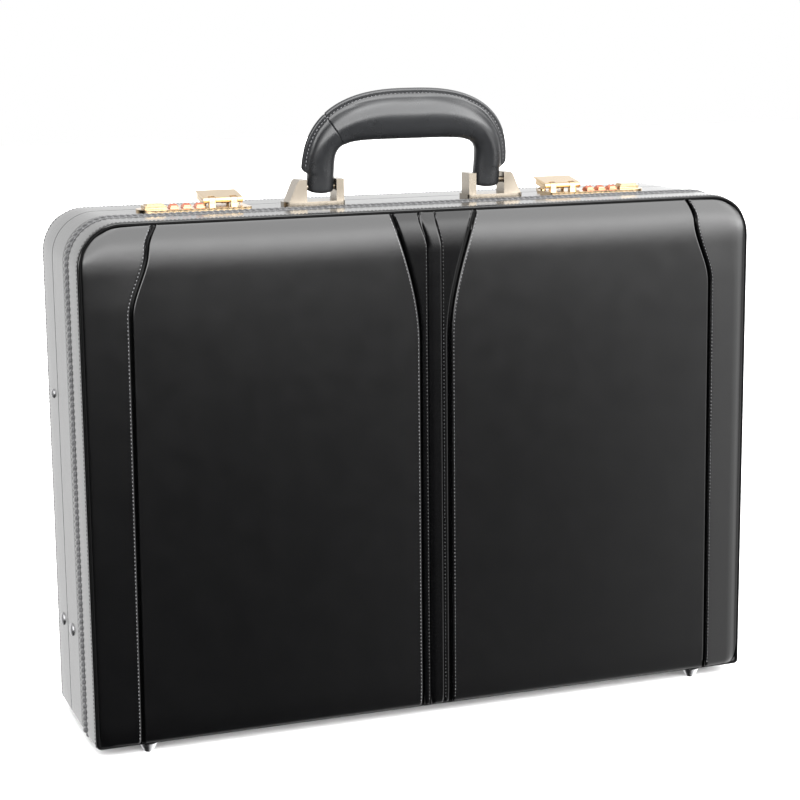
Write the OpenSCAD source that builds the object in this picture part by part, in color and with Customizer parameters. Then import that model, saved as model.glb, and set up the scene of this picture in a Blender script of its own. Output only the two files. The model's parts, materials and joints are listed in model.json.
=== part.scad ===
// Hard-sided attache case: a front shell that carries the handle and the locks, a rear shell
// hinged to it along the bottom, padded leather faces and brass hardware.
// Origin: bottom centre of the standing case. X is the width, -Y the front face, +Z up.

/* [Case] */
// Width over the walls
case_w = 459; // [440:1:480]
// Height over the walls
case_h = 332; // [320:1:350]
// Depth over the walls, without the padded faces
wall_d = 111; // [105:1:120]
// How far each padded face stands proud of the walls
pad_t = 5; // [4:0.5:8]
// Radius of the top corners
top_r = 28; // [20:1:36]
// Radius of the bottom corners
bottom_r = 4; // [3:0.5:10]
// Where the shells part, measured from the middle of the depth
split_y = 19.5; // [18:0.5:21]
// Gap between the two shells
split_gap = 0.3; // [0.2:0.1:0.6]

/* [Skins] */
// Thickness of the outer leather
leather_t = 1.5; // [1:0.1:2]
// Thickness of the wooden walls
wood_t = 7; // [6:0.5:8]
// Thickness of the wooden front and rear boards
board_t = 4; // [3:0.5:5]
// Thickness of the lining in the front shell
base_lining_t = 1.2; // [1:0.1:1.4]
// Thickness of the lining in the rear shell
lid_lining_t = 0.8; // [0.6:0.1:0.9]
// Width of the stitched welt that runs round the front shell
welt_w = 9; // [7:0.5:11]
// Middle of the welt, measured back from the front edge of the wall
welt_back = 32; // [28:1:36]

/* [Padded faces] */
// Gap between the edge of the wall and the padded face
pad_inset = 3.5; // [3:0.5:5]
// Width of a side strip over most of its height
strip_w = 29.7; // [26:0.1:34]
// How much wider a side strip is at the top
strip_flare = 11; // [8:1:14]
// Half width of the centre inset over most of its height
inset_half = 9.8; // [8:0.2:12]
// How much wider each half of the centre inset is at the top
inset_flare = 19.2; // [12:0.2:22]
// Width of the raised ridge down the middle
ridge_w = 9.5; // [8:0.5:12]
// Width of the valley between two pieces of a padded face
valley_w = 1.2; // [0.8:0.1:2]

/* [Handle] */
// Height of the handle's pivot over the case top
handle_pivot_up = 11.9; // [11.5:0.1:14]
// Lean of the handle towards the front at rest
handle_lean = 12; // [0:1:20]
// Distance of each handle leg from the middle
leg_x = 58.5; // [56:0.5:60]
// Height of the grip's middle over the pivot
grip_up = 43.4; // [40:0.2:48]
// Diameter of the grip
grip_d = 24; // [22:0.5:26]
// Diameter of each leg
leg_d = 16; // [14:0.5:17]

/* [Locks] */
// Inner end of each lock plate, from the middle of the case
lock_in = 105; // [100:1:108]
// Length of each lock plate
lock_l = 73; // [70:1:76]
// Width of each latch hasp
hasp_w = 26.5; // [24:0.5:27]
// How far the hasps stand up at rest
hasp_rest = 10; // [9:1:30]
// Outer radius of the number dials
dial_r = 5.2; // [4.8:0.1:5.4]
// Distance between neighbouring dials
dial_pitch = 8.5; // [8:0.1:9]

/* [Hinge and stays] */
// Length of the piano hinge
hinge_l = 380; // [300:20:400]
// Number of hinge knuckles, odd
knuckles = 19; // [15:2:21]
// Length of each lid stay between its pivots
stay_l = 130; // [126:1:136]
// Lean of the closed stay towards the rear shell
stay_lean = 13.12; // [12:0.01:14]

/* [Hidden] */

eps = 0.01;
bottom_z = 6;                            // height of the feet
top_z = bottom_z + case_h;
front_y = -wall_d / 2;
rear_y = wall_d / 2;
base_end = split_y - split_gap / 2;
lid_start = split_y + split_gap / 2;
wood_out = leather_t;                    // insets of each skin from the outer surface
wood_in = wood_out + wood_t;
base_in = wood_in + base_lining_t;
lid_in = wood_in + lid_lining_t;
side_x = case_w / 2;

BLACK = "#161616";
SATIN_BLACK = "#202020";
GOLD = "#d8b45a";
PALE_GOLD = "#cdb48a";
STEEL = "#b8bac0";
WOOD = "#c9a26b";
LINING = "#2a2422";

// ---------- outlines ----------

// Front view of the case, drawn with X across and the case's height up the page
module outline(inset) {
    rt = top_r - inset;
    rb = max(bottom_r - inset, 0.5);
    w = case_w - 2 * inset;
    z0 = bottom_z + inset;
    z1 = top_z - inset;
    translate([-w / 2 + rt, z1 - rt]) square([w - 2 * rt, rt]);
    translate([-w / 2, z0 + rb]) square([w, z1 - rt - z0 - rb]);
    translate([-w / 2 + rb, z0]) square([w - 2 * rb, rb]);
    for (s = [-1, 1]) {
        translate([s * (w / 2 - rt), z1 - rt]) circle(rt, $fn = 96);
        translate([s * (w / 2 - rb), z0 + rb]) circle(rb, $fn = 48);
    }
}

// A flat drawing in X and Z made solid from y0 to y1
module slab(y0, y1) {
    translate([0, y1, 0]) rotate([90, 0, 0]) linear_extrude(y1 - y0) children();
}

module ring(y0, y1, inset_out, inset_in) {
    slab(y0, y1) difference() {
        outline(inset_out);
        outline(inset_in);
    }
}

// A copy on each side of the case
module both_sides() {
    children();
    mirror([1, 0, 0]) children();
}

module x_cyl(x0, x1, y, z, r) {
    translate([x0, y, z]) rotate([0, 90, 0]) cylinder(h = x1 - x0, r = r, $fn = 48);
}

module z_cyl(x, y, z0, z1, r) {
    translate([x, y, z0]) cylinder(h = z1 - z0, r = r, $fn = 48);
}

// A box given by its two corners
module block(low, high) {
    translate(low) cube(high - low);
}

// ---------- places shared by several pieces ----------

foot_x = 194.5;
foot_y = 49.5;
foot_top_r = 6;
foot_tip_r = 2.8;
spike_r = 1.2;
spike_l = 6;

hinge_y = split_y;
hinge_z = 4.6;
knuckle_r = 2.2;
hinge_pin_r = 1.1;
hinge_clear = 0.5;                       // room round the knuckles
leaf_w = 14;
leaf_z = bottom_z - 1;
knuckle_pitch = hinge_l / knuckles;
hinge_screw_x = [-170, -60, 60, 170];
hinge_screw_r = 1.5;

stay_y = 5.5;                            // the stay's pivot on the front shell
stay_z = 68.5;
stay_rivet_r = 2;
track_y = 35;                            // the track's middle on the rear shell
track_z0 = 62;
track_z1 = 225;
track_rivet_z = [67.5, 219.5];
track_rivet_r = 1.6;
lip_in = base_in + 1.5;
arm_x1 = side_x - lip_in - 1.8;          // outer face of each stay arm
arm_t = 1.5;

bracket_x0 = 43;
bracket_x1 = 83.5;
bracket_y0 = -12.5;
bracket_y1 = 6.5;
flange_t = 3;
post_top = top_z + 17;
post_y0 = -11;
post_y1 = 2.5;
pivot_y = -4.25;
pivot_z = top_z + handle_pivot_up;
handle_pin_r = 2;
handle_pin_x = [bracket_x0 + 1.2, 73.5];
running = 0.06;                          // radial running clearance
bracket_screw_x = [54, 64];
bracket_screw_r = 1.5;

plate_y0 = -9.5;
plate_y1 = 17.5;
plate_t = 1.5;
plate_z = top_z + plate_t;
case_x0 = 109;
case_x1 = 175;
case_y0 = -5.5;
case_y1 = 15.9;
case_z0 = top_z - 8;
sheet_t = 0.8;
hasp_x0 = lock_in + 2;
hasp_x1 = hasp_x0 + hasp_w;
hasp_y = 7.5;                            // axis of each hasp
hasp_z = plate_z + 3.4;
hasp_l = 18.5;
hasp_t = 1.2;
latch_r = 1.9;
latch_pin_r = 0.8;
lug_x = [[hasp_x0 + 4, hasp_x0 + 8], [hasp_x1 - 8, hasp_x1 - 4]];
tang_y = [hasp_y + 2.5, hasp_y + 6];     // the tang under each hasp
tang_z = top_z - 1.1;
dial_w = 5.4;
dial_y = 2;
dial_z = plate_z - 2.5;
first_dial_x = 137.5;
spindle_r = 0.7;
dial_x = [for (i = [0:2]) first_dial_x + i * dial_pitch];
dial_slot_half = [dial_w / 2 + 0.4, 5.2];  // half sizes of each dial's slot, in X and Y
button_x0 = 159.5;
button_l = 14.5;
stem_x = [164, 168];                     // the button's stem
stem_y = [1, 5];
stem_clear = 0.3;
button_out = 2.7;                        // room for the button's travel
slider_z0 = plate_z - 5.2;
slider_z1 = slider_z0 + 2;
bolt_y0 = 7.8;
bolt_y1 = 10.6;
strike_y = [split_y + 0.8, split_y + 11.5];
bar_y1 = hasp_y + hasp_l - hasp_t - 0.3;  // the bar that the hasp hooks behind
bar_y0 = bar_y1 - 1.8;
bar_z1 = hasp_z + 0.2;
strike_t = 1.2;
strike_x0 = hasp_x0 + 4.5;
strike_x1 = hasp_x1 - 4.5;

// ---------- holes cut through the skins ----------

module foot_holes(y) {
    for (s = [-1, 1]) z_cyl(s * foot_x, y, bottom_z - eps, bottom_z + spike_l, spike_r);
}

module hinge_groove() {
    x_cyl(-hinge_l / 2 - 1, hinge_l / 2 + 1, hinge_y, hinge_z, knuckle_r + hinge_clear);
}

module hinge_screw_holes(side) {
    for (x = hinge_screw_x)
        z_cyl(x, hinge_y + side * leaf_w * 0.62, leaf_z - eps, bottom_z + 6, hinge_screw_r);
}

module bracket_screw_holes() {
    both_sides() for (x = bracket_screw_x)
        z_cyl(x, pivot_y, top_z - 7, top_z + flange_t + eps, bracket_screw_r);
}

module lock_wells() {
    both_sides() block([case_x0, case_y0, case_z0], [case_x1, case_y1, top_z + 1]);
}

module stay_holes(r) {
    both_sides() x_cyl(side_x - 20, side_x + 1, stay_y, stay_z, r);
}

module track_holes(r) {
    both_sides() for (z = track_rivet_z) x_cyl(side_x - 20, side_x + 1, track_y, z, r);
}

// ---------- front shell ----------

module base_frame() color(WOOD) difference() {
    ring(front_y + board_t, base_end, wood_out, wood_in);
    lock_wells();
    bracket_screw_holes();
    stay_holes(stay_rivet_r);
    hinge_groove();
    hinge_screw_holes(-1);
    foot_holes(-foot_y);
}

module base_board() color(WOOD) slab(front_y, front_y + board_t) outline(wood_out);

module base_band() color(BLACK) difference() {
    ring(front_y, front_y + welt_back, 0, leather_t);
    foot_holes(-foot_y);
}

module base_leather() color(BLACK) difference() {
    ring(front_y + welt_back, base_end, 0, leather_t);
    lock_wells();
    bracket_screw_holes();
    stay_holes(stay_rivet_r);
    hinge_groove();
    hinge_screw_holes(-1);
}

// The stitched welt that hides the joint of the band and the side leather
module base_welt() color(SATIN_BLACK)
    ring(front_y + welt_back - welt_w / 2, front_y + welt_back + welt_w / 2, -1.2, 0);

module base_lining() color(LINING) difference() {
    union() {
        slab(front_y + board_t, front_y + board_t + base_lining_t) outline(wood_in);
        ring(front_y + board_t + base_lining_t, base_end, wood_in, base_in);
    }
    stay_holes(stay_rivet_r);
}

// A lined strip inside the front shell that reaches into the rear shell and keeps dust out
module closing_lip() color(LINING) ring(split_y - 8.5, split_y + 6, base_in, lip_in);

// ---------- padded faces ----------

seam_steps = 16;
strip_bend = [16, 58];                   // a strip widens between these depths below the top
strip_taper = 0.006;                     // gain in width per height all the way up
inset_bend = 85;                         // height over which the centre inset widens

function flare(z, bend) = max(0, 1 - (top_z - z) / bend);
function ease(t) = let (u = min(max(t, 0), 1)) u * u * (3 - 2 * u);
function strip_edge(z) = strip_w + strip_taper * (z - bottom_z)
    + strip_flare * ease((strip_bend[1] - top_z + z) / (strip_bend[1] - strip_bend[0]))
    + 5 * pow(max(0, (strip_bend[0] - top_z + z) / (strip_bend[0] - 3.5)), 1.5);
function inset_edge(z) = let (t = flare(z, inset_bend))
    inset_half + inset_flare * t * t * (1.6 - 0.6 * t);
function heights(bend) = [bottom_z - 5, for (i = [0:seam_steps])
    top_z - bend + i * (bend + 5) / seam_steps];

// Everything beyond the side seam, on the +X side
module beyond_side_seam(gap) {
    polygon([for (z = heights(strip_bend[1])) [side_x - strip_edge(z) + gap, z],
        [side_x + 5, top_z + 5], [side_x + 5, bottom_z - 5]]);
}

// Everything within the centre inset's seams
module within_inset(gap) {
    hs = heights(inset_bend);
    polygon([for (z = hs) [inset_edge(z) - gap, z],
        for (i = [len(hs) - 1:-1:0]) [gap - inset_edge(hs[i]), hs[i]]]);
}

module side_strips_2d() intersection() {
    outline(pad_inset);
    both_sides() beyond_side_seam(valley_w / 2);
}

module ridge_2d() intersection() {
    outline(pad_inset);
    translate([-ridge_w / 2, bottom_z]) square([ridge_w, case_h]);
}

module piping(y0, y1) color(SATIN_BLACK) ring(y0, y1, 1, pad_inset - 0.2);

module front_piping() piping(front_y - 2.5, front_y);

module front_panels() color(BLACK) slab(front_y - pad_t, front_y) difference() {
    outline(pad_inset);
    both_sides() beyond_side_seam(-valley_w / 2);
    within_inset(-valley_w / 2);
}

module front_side_strips() color(BLACK) slab(front_y - pad_t, front_y) side_strips_2d();

module front_inset() color(SATIN_BLACK) slab(front_y - pad_t + 2, front_y) difference() {
    intersection() {
        outline(pad_inset);
        within_inset(valley_w / 2);
    }
    translate([-ridge_w / 2, bottom_z]) square([ridge_w, case_h]);
}

module front_ridge() color(SATIN_BLACK) slab(front_y - pad_t + 0.5, front_y) ridge_2d();

module rear_piping() piping(rear_y, rear_y + 2.5);

module rear_panel() color(BLACK) slab(rear_y, rear_y + pad_t) difference() {
    outline(pad_inset);
    both_sides() beyond_side_seam(-valley_w / 2);
}

module rear_side_strips() color(BLACK) slab(rear_y, rear_y + pad_t) side_strips_2d();

// ---------- rear shell ----------

module lid_frame() color(WOOD) difference() {
    ring(lid_start, rear_y - board_t, wood_out, wood_in);
    track_holes(track_rivet_r);
    hinge_groove();
    hinge_screw_holes(1);
    foot_holes(foot_y);
}

module lid_board() color(WOOD) slab(rear_y - board_t, rear_y) outline(wood_out);

module lid_leather() color(BLACK) difference() {
    ring(lid_start, rear_y, 0, leather_t);
    track_holes(track_rivet_r);
    hinge_groove();
    hinge_screw_holes(1);
    foot_holes(foot_y);
}

module lid_lining() color(LINING) difference() {
    union() {
        slab(rear_y - board_t - lid_lining_t, rear_y - board_t) outline(wood_in);
        ring(lid_start, rear_y - board_t - lid_lining_t, wood_in, lid_in);
    }
    track_holes(track_rivet_r);
}

lining_y = rear_y - board_t - lid_lining_t;
pocket_gap = 3;
pocket_skin = 1.6;

// A flat pocket, open at the top: a front skin on a gusset along its sides and bottom
module pocket(x0, x1, z0, z1, back_y) {
    gusset = 2;
    front = back_y - pocket_gap;
    block([x0, front - pocket_skin, z0], [x1, front, z1]);
    block([x0, front, z0], [x1, back_y, z0 + gusset]);
    block([x0, front, z0 + gusset], [x0 + gusset, back_y, z1]);
    block([x1 - gusset, front, z0 + gusset], [x1, back_y, z1]);
}

module file_pockets() color(SATIN_BLACK) {
    pocket(-190, 190, 28, 232, lining_y);
    pocket(-190, 40, 28, 150, lining_y - pocket_gap - pocket_skin);
    pocket(60, 190, 28, 110, lining_y - pocket_gap - pocket_skin);
}

// Three round loops for pens on a short strap
module pen_loops() color(SATIN_BLACK) {
    block([80, lining_y - 1.6, 262], [180, lining_y, 284]);
    for (x = [100, 130, 160]) translate([x, lining_y - 1.6 - 6, 262]) difference() {
        cylinder(h = 22, r = 6, $fn = 48);
        translate([0, 0, -1]) cylinder(h = 24, r = 5, $fn = 48);
    }
}

// ---------- feet ----------

module foot(x, y) {
    translate([x, y, 0]) cylinder(h = bottom_z, r1 = foot_tip_r, r2 = foot_top_r, $fn = 48);
    z_cyl(x, y, bottom_z - 1, bottom_z + spike_l, spike_r);
}

module base_feet() color(STEEL) for (s = [-1, 1]) foot(s * foot_x, -foot_y);
module lid_feet() color(STEEL) for (s = [-1, 1]) foot(s * foot_x, foot_y);

// ---------- piano hinge ----------

// One leaf with every second knuckle: side -1 is the front shell's, 1 the rear shell's
module hinge_leaf(side, first, bore) {
    gap = 0.4;
    difference() {
        union() {
            y_in = hinge_y + side * (knuckle_r + hinge_clear);
            y_out = hinge_y + side * leaf_w;
            block([-hinge_l / 2, min(y_in, y_out), leaf_z],
                [hinge_l / 2, max(y_in, y_out), bottom_z]);
            for (i = [first:2:knuckles - 1]) {
                x0 = -hinge_l / 2 + i * knuckle_pitch + gap / 2;
                x1 = x0 + knuckle_pitch - gap;
                x_cyl(x0, x1, hinge_y, hinge_z, knuckle_r);
                block([x0, min(hinge_y, y_in), leaf_z], [x1, max(hinge_y, y_in), bottom_z]);
            }
        }
        x_cyl(-hinge_l / 2 - 1, hinge_l / 2 + 1, hinge_y, hinge_z, bore);
        hinge_screw_holes(side);
    }
}

module hinge_base_leaf() color(GOLD) hinge_leaf(-1, 0, hinge_pin_r);
module hinge_lid_leaf() color(GOLD) hinge_leaf(1, 1, hinge_pin_r + running);
module hinge_pin() color(STEEL)
    x_cyl(-hinge_l / 2, hinge_l / 2, hinge_y, hinge_z, hinge_pin_r);

// Flat-headed screws whose heads are flush in the leaf
module hinge_screws(side) color(GOLD) for (x = hinge_screw_x)
    z_cyl(x, hinge_y + side * leaf_w * 0.62, leaf_z, bottom_z + 6, hinge_screw_r);

module hinge_base_screws() hinge_screws(-1);
module hinge_lid_screws() hinge_screws(1);

// ---------- handle ----------

flange_in_r = 3;                         // corner radii of the flange's two ends
flange_out_r = 7;

module flange_2d() {
    x0 = bracket_x0 + flange_in_r;
    x1 = bracket_x1 - flange_out_r;
    translate([x0, bracket_y0]) square([x1 - x0, bracket_y1 - bracket_y0]);
    translate([bracket_x0, bracket_y0 + flange_in_r])
        square([flange_in_r, bracket_y1 - bracket_y0 - 2 * flange_in_r]);
    translate([x1, bracket_y0 + flange_out_r])
        square([flange_out_r, bracket_y1 - bracket_y0 - 2 * flange_out_r]);
    for (y = [bracket_y0 + flange_in_r, bracket_y1 - flange_in_r])
        translate([x0, y]) circle(flange_in_r, $fn = 48);
    for (y = [bracket_y0 + flange_out_r, bracket_y1 - flange_out_r])
        translate([x1, y]) circle(flange_out_r, $fn = 64);
}

// A bracket is a flange with two posts: a square inner one and a sloping outer one
module handle_bracket() difference() {
    union() {
        translate([0, 0, top_z]) linear_extrude(flange_t) flange_2d();
        block([bracket_x0 + 0.8, post_y0, top_z + 1], [bracket_x0 + 6, post_y1, post_top]);
        slab(post_y0, post_y1) polygon([[69, top_z + 1], [81, top_z + 1],
            [81, top_z + flange_t], [75.5, post_top - 1.5], [74, post_top], [69, post_top]]);
    }
    x_cyl(handle_pin_x[0], handle_pin_x[1], pivot_y, pivot_z, handle_pin_r);
    for (x = bracket_screw_x)
        z_cyl(x, pivot_y, top_z - 1, top_z + flange_t + eps, bracket_screw_r);
}

module handle_brackets() color(PALE_GOLD) both_sides() handle_bracket();

module bracket_screws() color(PALE_GOLD) both_sides() for (x = bracket_screw_x)
    z_cyl(x, pivot_y, top_z - 7, top_z + flange_t, bracket_screw_r);

module handle_pins() color(PALE_GOLD) both_sides()
    x_cyl(handle_pin_x[0], handle_pin_x[1], pivot_y, pivot_z, handle_pin_r);

bend_r = leg_x - 31;                     // radius of the handle's shoulders

// The bow of the handle, upright, measured up from its pivot
module bow(leg, grip, foot_z) {
    shoulder = (leg + grip) / 2;
    bend_z = grip_up - bend_r;
    for (s = [-1, 1]) {
        translate([s * leg_x, 0, foot_z]) cylinder(h = bend_z - foot_z, d = leg, $fn = 48);
        mirror([s > 0 ? 0 : 1, 0, 0]) translate([leg_x - bend_r, 0, bend_z]) rotate([90, 0, 0])
            rotate_extrude(angle = 90, $fn = 96) translate([bend_r, 0])
                circle(d = shoulder, $fn = 48);
    }
    translate([bend_r - leg_x, 0, grip_up]) rotate([0, 90, 0])
        cylinder(h = 2 * (leg_x - bend_r), d = grip, $fn = 48);
}

module place_handle() {
    translate([0, pivot_y, pivot_z]) rotate([handle_lean, 0, 0]) children();
}

core_d = 9;
leg_end = -3.4;                          // lowest point of a leg, from the pivot

module handle_core() color(STEEL) place_handle() difference() {
    union() {
        bow(core_d, core_d, 0);
        for (s = [-1, 1]) x_cyl(s * leg_x - 6, s * leg_x + 6, 0, 0, 3.2);
    }
    x_cyl(-80, 80, 0, 0, handle_pin_r + running);
}

// The padded leather cover, with the stitched fin along its outer edge
module handle_leather() color(BLACK) place_handle() difference() {
    union() {
        bow(leg_d, grip_d, leg_end);
        fin();
    }
    bow(core_d, core_d, 0);
    for (s = [-1, 1]) x_cyl(s * leg_x - 6, s * leg_x + 6, 0, 0, 3.2);
    x_cyl(-80, 80, 0, 0, 3.2);
}

fin_t = 3;
fin_r = 40;                              // outer radius of the fin at the shoulders
fin_top = 64.3;

module fin() rotate([90, 0, 0]) translate([0, 0, -fin_t / 2]) linear_extrude(fin_t) difference() {
    union() {
        translate([fin_r - 71, 9.2]) square([2 * (71 - fin_r), fin_top - 9.2]);
        translate([-71, 9.2]) square([142, fin_top - fin_r - 9.2]);
        for (s = [-1, 1]) translate([s * (71 - fin_r), fin_top - fin_r]) circle(fin_r, $fn = 96);
    }
    translate([-80, -80]) square([160, 89.2]);
    translate([-58, 0]) square([116, grip_up - 6]);
    translate([-40, 0]) square([80, grip_up + 4]);
}

// ---------- locks ----------

module lock_plate() difference() {
    union() {
        block([lock_in + 3, plate_y0, top_z], [lock_in + lock_l - 9, plate_y1, plate_z]);
        z_cyl(lock_in + lock_l - 13.5, (plate_y0 + plate_y1) / 2, top_z, plate_z,
            (plate_y1 - plate_y0) / 2);
        block([lock_in, plate_y0 + 3, top_z], [lock_in + 3, plate_y1 - 3, plate_z]);
        for (y = [plate_y0 + 3, plate_y1 - 3]) z_cyl(lock_in + 3, y, top_z, plate_z, 3);
        for (lug = lug_x) {
            block([lug[0], hasp_y - latch_r, plate_z - eps], [lug[1], hasp_y + latch_r, hasp_z]);
            x_cyl(lug[0], lug[1], hasp_y, hasp_z, latch_r);
        }
    }
    x_cyl(lock_in, lock_in + 40, hasp_y, hasp_z, latch_pin_r);
    for (x = dial_x)
        block([x - dial_slot_half[0], dial_y - dial_slot_half[1], top_z - 1],
            [x + dial_slot_half[0], dial_y + dial_slot_half[1], plate_z + 1]);
    block([stem_x[0] - stem_clear, stem_y[0] - stem_clear, top_z - 1],
        [stem_x[1] + button_out, stem_y[1] + stem_clear, plate_z + 1]);
    block([hasp_x1 - 2.5, tang_y[0] - 0.5, top_z - 1],
        [hasp_x1 - 0.5, tang_y[1] + 2.2, plate_z + 1]);
    for (p = lock_rivet_at) z_cyl(p[0], p[1], top_z - 1, plate_z + 1, lock_rivet_r);
}

lock_rivet_at = [[lock_in + 4, 14], [lock_in + lock_l - 8, 13]];
lock_rivet_r = 1.1;

module lock_plates() color(GOLD) both_sides() lock_plate();

module lock_rivets() color(GOLD) both_sides() {
    for (p = lock_rivet_at) {
        z_cyl(p[0], p[1], top_z, plate_z, lock_rivet_r);
        z_cyl(p[0], p[1], plate_z, plate_z + 0.6, 1.9);
    }
}

spindle_post_x = [133.7, 157.7];

// The pressed-steel well that hangs under each plate, with the posts of the dial spindle
module lock_case() {
    difference() {
        block([case_x0, case_y0, case_z0], [case_x1, case_y1, top_z]);
        block([case_x0 + sheet_t, case_y0 + sheet_t, case_z0 + 1],
            [case_x1 - sheet_t, case_y1 - sheet_t, top_z + 1]);
    }
    for (x = spindle_post_x) difference() {
        block([x, dial_y - 3, case_z0 + 1], [x + 0.8, dial_y + 3, top_z - 0.1]);
        x_cyl(x - 1, x + 2, dial_y, dial_z, spindle_r);
    }
}

module lock_cases() color(STEEL) both_sides() lock_case();

module dial_spindles() color(STEEL) both_sides()
    x_cyl(spindle_post_x[0], spindle_post_x[1] + 0.8, dial_y, dial_z, spindle_r);

module latch_pins() color(GOLD) both_sides() x_cyl(hasp_x0, hasp_x1, hasp_y, hasp_z, latch_pin_r);

// A coil of round wire along +Z from the origin
module coil(r, wire, turns, pitch) {
    linear_extrude(turns * pitch, twist = -360 * turns, slices = 12 * turns)
        translate([r, 0]) circle(d = wire, $fn = 8);
}

module latch_springs() color(STEEL) both_sides()
    translate([lug_x[0][1] + 0.5, hasp_y, hasp_z]) rotate([0, 90, 0]) coil(1.15, 0.4, 9, 1.05);

module button_springs() color(STEEL) both_sides()
    translate([stem_x[1] + 2.2, 9.2, slider_z0 + 1]) rotate([0, 90, 0]) coil(0.8, 0.4, 4, 0.9);

// A flat spring whose three fingers click the dials into place
module dial_springs() color(STEEL) both_sides() {
    block([136, dial_y + 1, case_z0 + 1], [156, dial_y + 3, case_z0 + 1.3]);
    for (x = dial_x) block([x - 1, dial_y - 4, case_z0 + 1], [x + 1, dial_y + 1, case_z0 + 1.3]);
}

spring_bore_r = 1.5;

// A hasp drawn closed, on the +X side
module closed_hasp() {
    z1 = hasp_z + latch_r;
    z0 = z1 - hasp_t;
    low = plate_z + 0.8;
    difference() {
        union() {
            block([hasp_x0, hasp_y, z0], [hasp_x1, hasp_y + hasp_l, z1]);
            block([hasp_x0 + 2, hasp_y + hasp_l - hasp_t, hasp_z - 1.9],
                [hasp_x1 - 2, hasp_y + hasp_l, z1]);
            for (x = [hasp_x0, hasp_x1 - 1])
                block([x, hasp_y, low], [x + 1, hasp_y + hasp_l - 4, z1]);
            block([hasp_x1 - 2.2, tang_y[0], tang_z], [hasp_x1 - 1, tang_y[1], z1]);
            x_cyl(hasp_x0, hasp_x1, hasp_y, hasp_z, latch_r);
        }
        for (lug = lug_x)
            block([lug[0] - 0.2, hasp_y - 4, low - 1], [lug[1] + 0.2, hasp_y + 2.9, z1 + 1]);
        x_cyl(hasp_x0 - 1, hasp_x1 + 1, hasp_y, hasp_z, latch_pin_r + running);
        x_cyl(lug_x[0][1], lug_x[1][0], hasp_y, hasp_z, spring_bore_r);
    }
}

module hasp() translate([0, hasp_y, hasp_z]) rotate([hasp_rest, 0, 0])
    translate([0, -hasp_y, -hasp_z]) closed_hasp();

module left_hasp() color(GOLD) mirror([1, 0, 0]) hasp();
module right_hasp() color(GOLD) hasp();

// The button's cap, its stem through the plate and the bolt that holds the hasp down
module button() {
    block([button_x0, -2, plate_z + 0.1], [button_x0 + button_l, 8.5, plate_z + 2.2]);
    block([button_x0 + 1.5, -0.8, plate_z + 2.2], [button_x0 + button_l - 1.5, 7.3, plate_z + 3.4]);
    block([stem_x[0], stem_y[0], slider_z0], [stem_x[1], stem_y[1], plate_z + 0.1]);
    block([stem_x[0], stem_y[1], slider_z0], [stem_x[1], bolt_y1, slider_z1]);
    block([hasp_x1 - 0.5, bolt_y0, slider_z0], [stem_x[0], bolt_y1, slider_z1]);
}

module left_button() color(GOLD) mirror([1, 0, 0]) button();
module right_button() color(GOLD) button();

// A number wheel with ten flats round its edge
module dial(x) translate([x - dial_w / 2, dial_y, dial_z]) rotate([0, 90, 0]) difference() {
    union() {
        cylinder(h = dial_w, r = dial_r - 0.5, $fn = 48);
        for (i = [0:9]) rotate(36 * i) translate([0, 0, 0.6])
            cylinder(h = dial_w - 1.2, r = dial_r, $fn = 5);
    }
    translate([0, 0, -1]) cylinder(h = dial_w + 2, r = spindle_r + running, $fn = 48);
}

module left_dial_1() color(GOLD) mirror([1, 0, 0]) dial(dial_x[2]);
module left_dial_2() color(GOLD) mirror([1, 0, 0]) dial(dial_x[1]);
module left_dial_3() color(GOLD) mirror([1, 0, 0]) dial(dial_x[0]);
module right_dial_1() color(GOLD) dial(dial_x[0]);
module right_dial_2() color(GOLD) dial(dial_x[1]);
module right_dial_3() color(GOLD) dial(dial_x[2]);

// The catch on the rear shell: a small plate with a raised bar that the hasp hooks behind
module strike() difference() {
    union() {
        block([strike_x0, strike_y[0], top_z], [strike_x1, strike_y[1], top_z + strike_t]);
        for (x = [strike_x0, strike_x1 - 2])
            block([x, bar_y0, top_z + strike_t], [x + 2, bar_y1, bar_z1]);
        block([strike_x0, bar_y0, bar_z1 - 1.6], [strike_x1, bar_y1, bar_z1]);
    }
    for (x = [strike_x0 + 2.2, strike_x1 - 2.2])
        z_cyl(x, strike_y[1] - 2.6, top_z - 1, top_z + strike_t + 1, lock_rivet_r);
}

module strikes() color(GOLD) both_sides() strike();

module strike_rivets() color(GOLD) both_sides() {
    for (x = [strike_x0 + 2.2, strike_x1 - 2.2]) {
        z_cyl(x, strike_y[1] - 2.6, top_z, top_z + strike_t, lock_rivet_r);
        z_cyl(x, strike_y[1] - 2.6, top_z + strike_t, top_z + strike_t + 0.6, 1.8);
    }
}

// ---------- lid stays ----------

// A domed head at x = 0 that faces +X
module rivet_head(r, h) rotate([0, 90, 0]) rotate_extrude($fn = 48)
    polygon([[0, 0], [r, 0], [r, h * 0.35], [r * 0.75, h * 0.75], [r * 0.4, h], [0, h]]);

module stay_rivet() {
    translate([side_x, stay_y, stay_z]) rivet_head(4.2, 1.6);
    x_cyl(arm_x1 - arm_t - 1.6, side_x, stay_y, stay_z, stay_rivet_r);
    x_cyl(arm_x1 + 0.1, side_x - base_in, stay_y, stay_z, 3.5);
    x_cyl(arm_x1 - arm_t - 1.6, arm_x1 - arm_t - 0.1, stay_y, stay_z, 3.5);
}

module stay_rivets() color(STEEL) both_sides() stay_rivet();

track_x1 = side_x - lid_in;              // the track's back, on the rear shell's lining
track_floor = 1;
track_half = 6;
track_depth = 2.8;

module stay_track() difference() {
    block([track_x1 - track_depth, track_y - track_half, track_z0],
        [track_x1, track_y + track_half, track_z1]);
    block([track_x1 - track_depth - 1, track_y - track_half + 1.2, track_z0 + 12],
        [track_x1 - track_floor, track_y + track_half - 1.2, track_z1 - 12]);
    for (z = track_rivet_z)
        x_cyl(track_x1 - track_depth - 1, track_x1 + 1, track_y, z, track_rivet_r);
}

module stay_tracks() color(STEEL) both_sides() stay_track();

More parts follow.
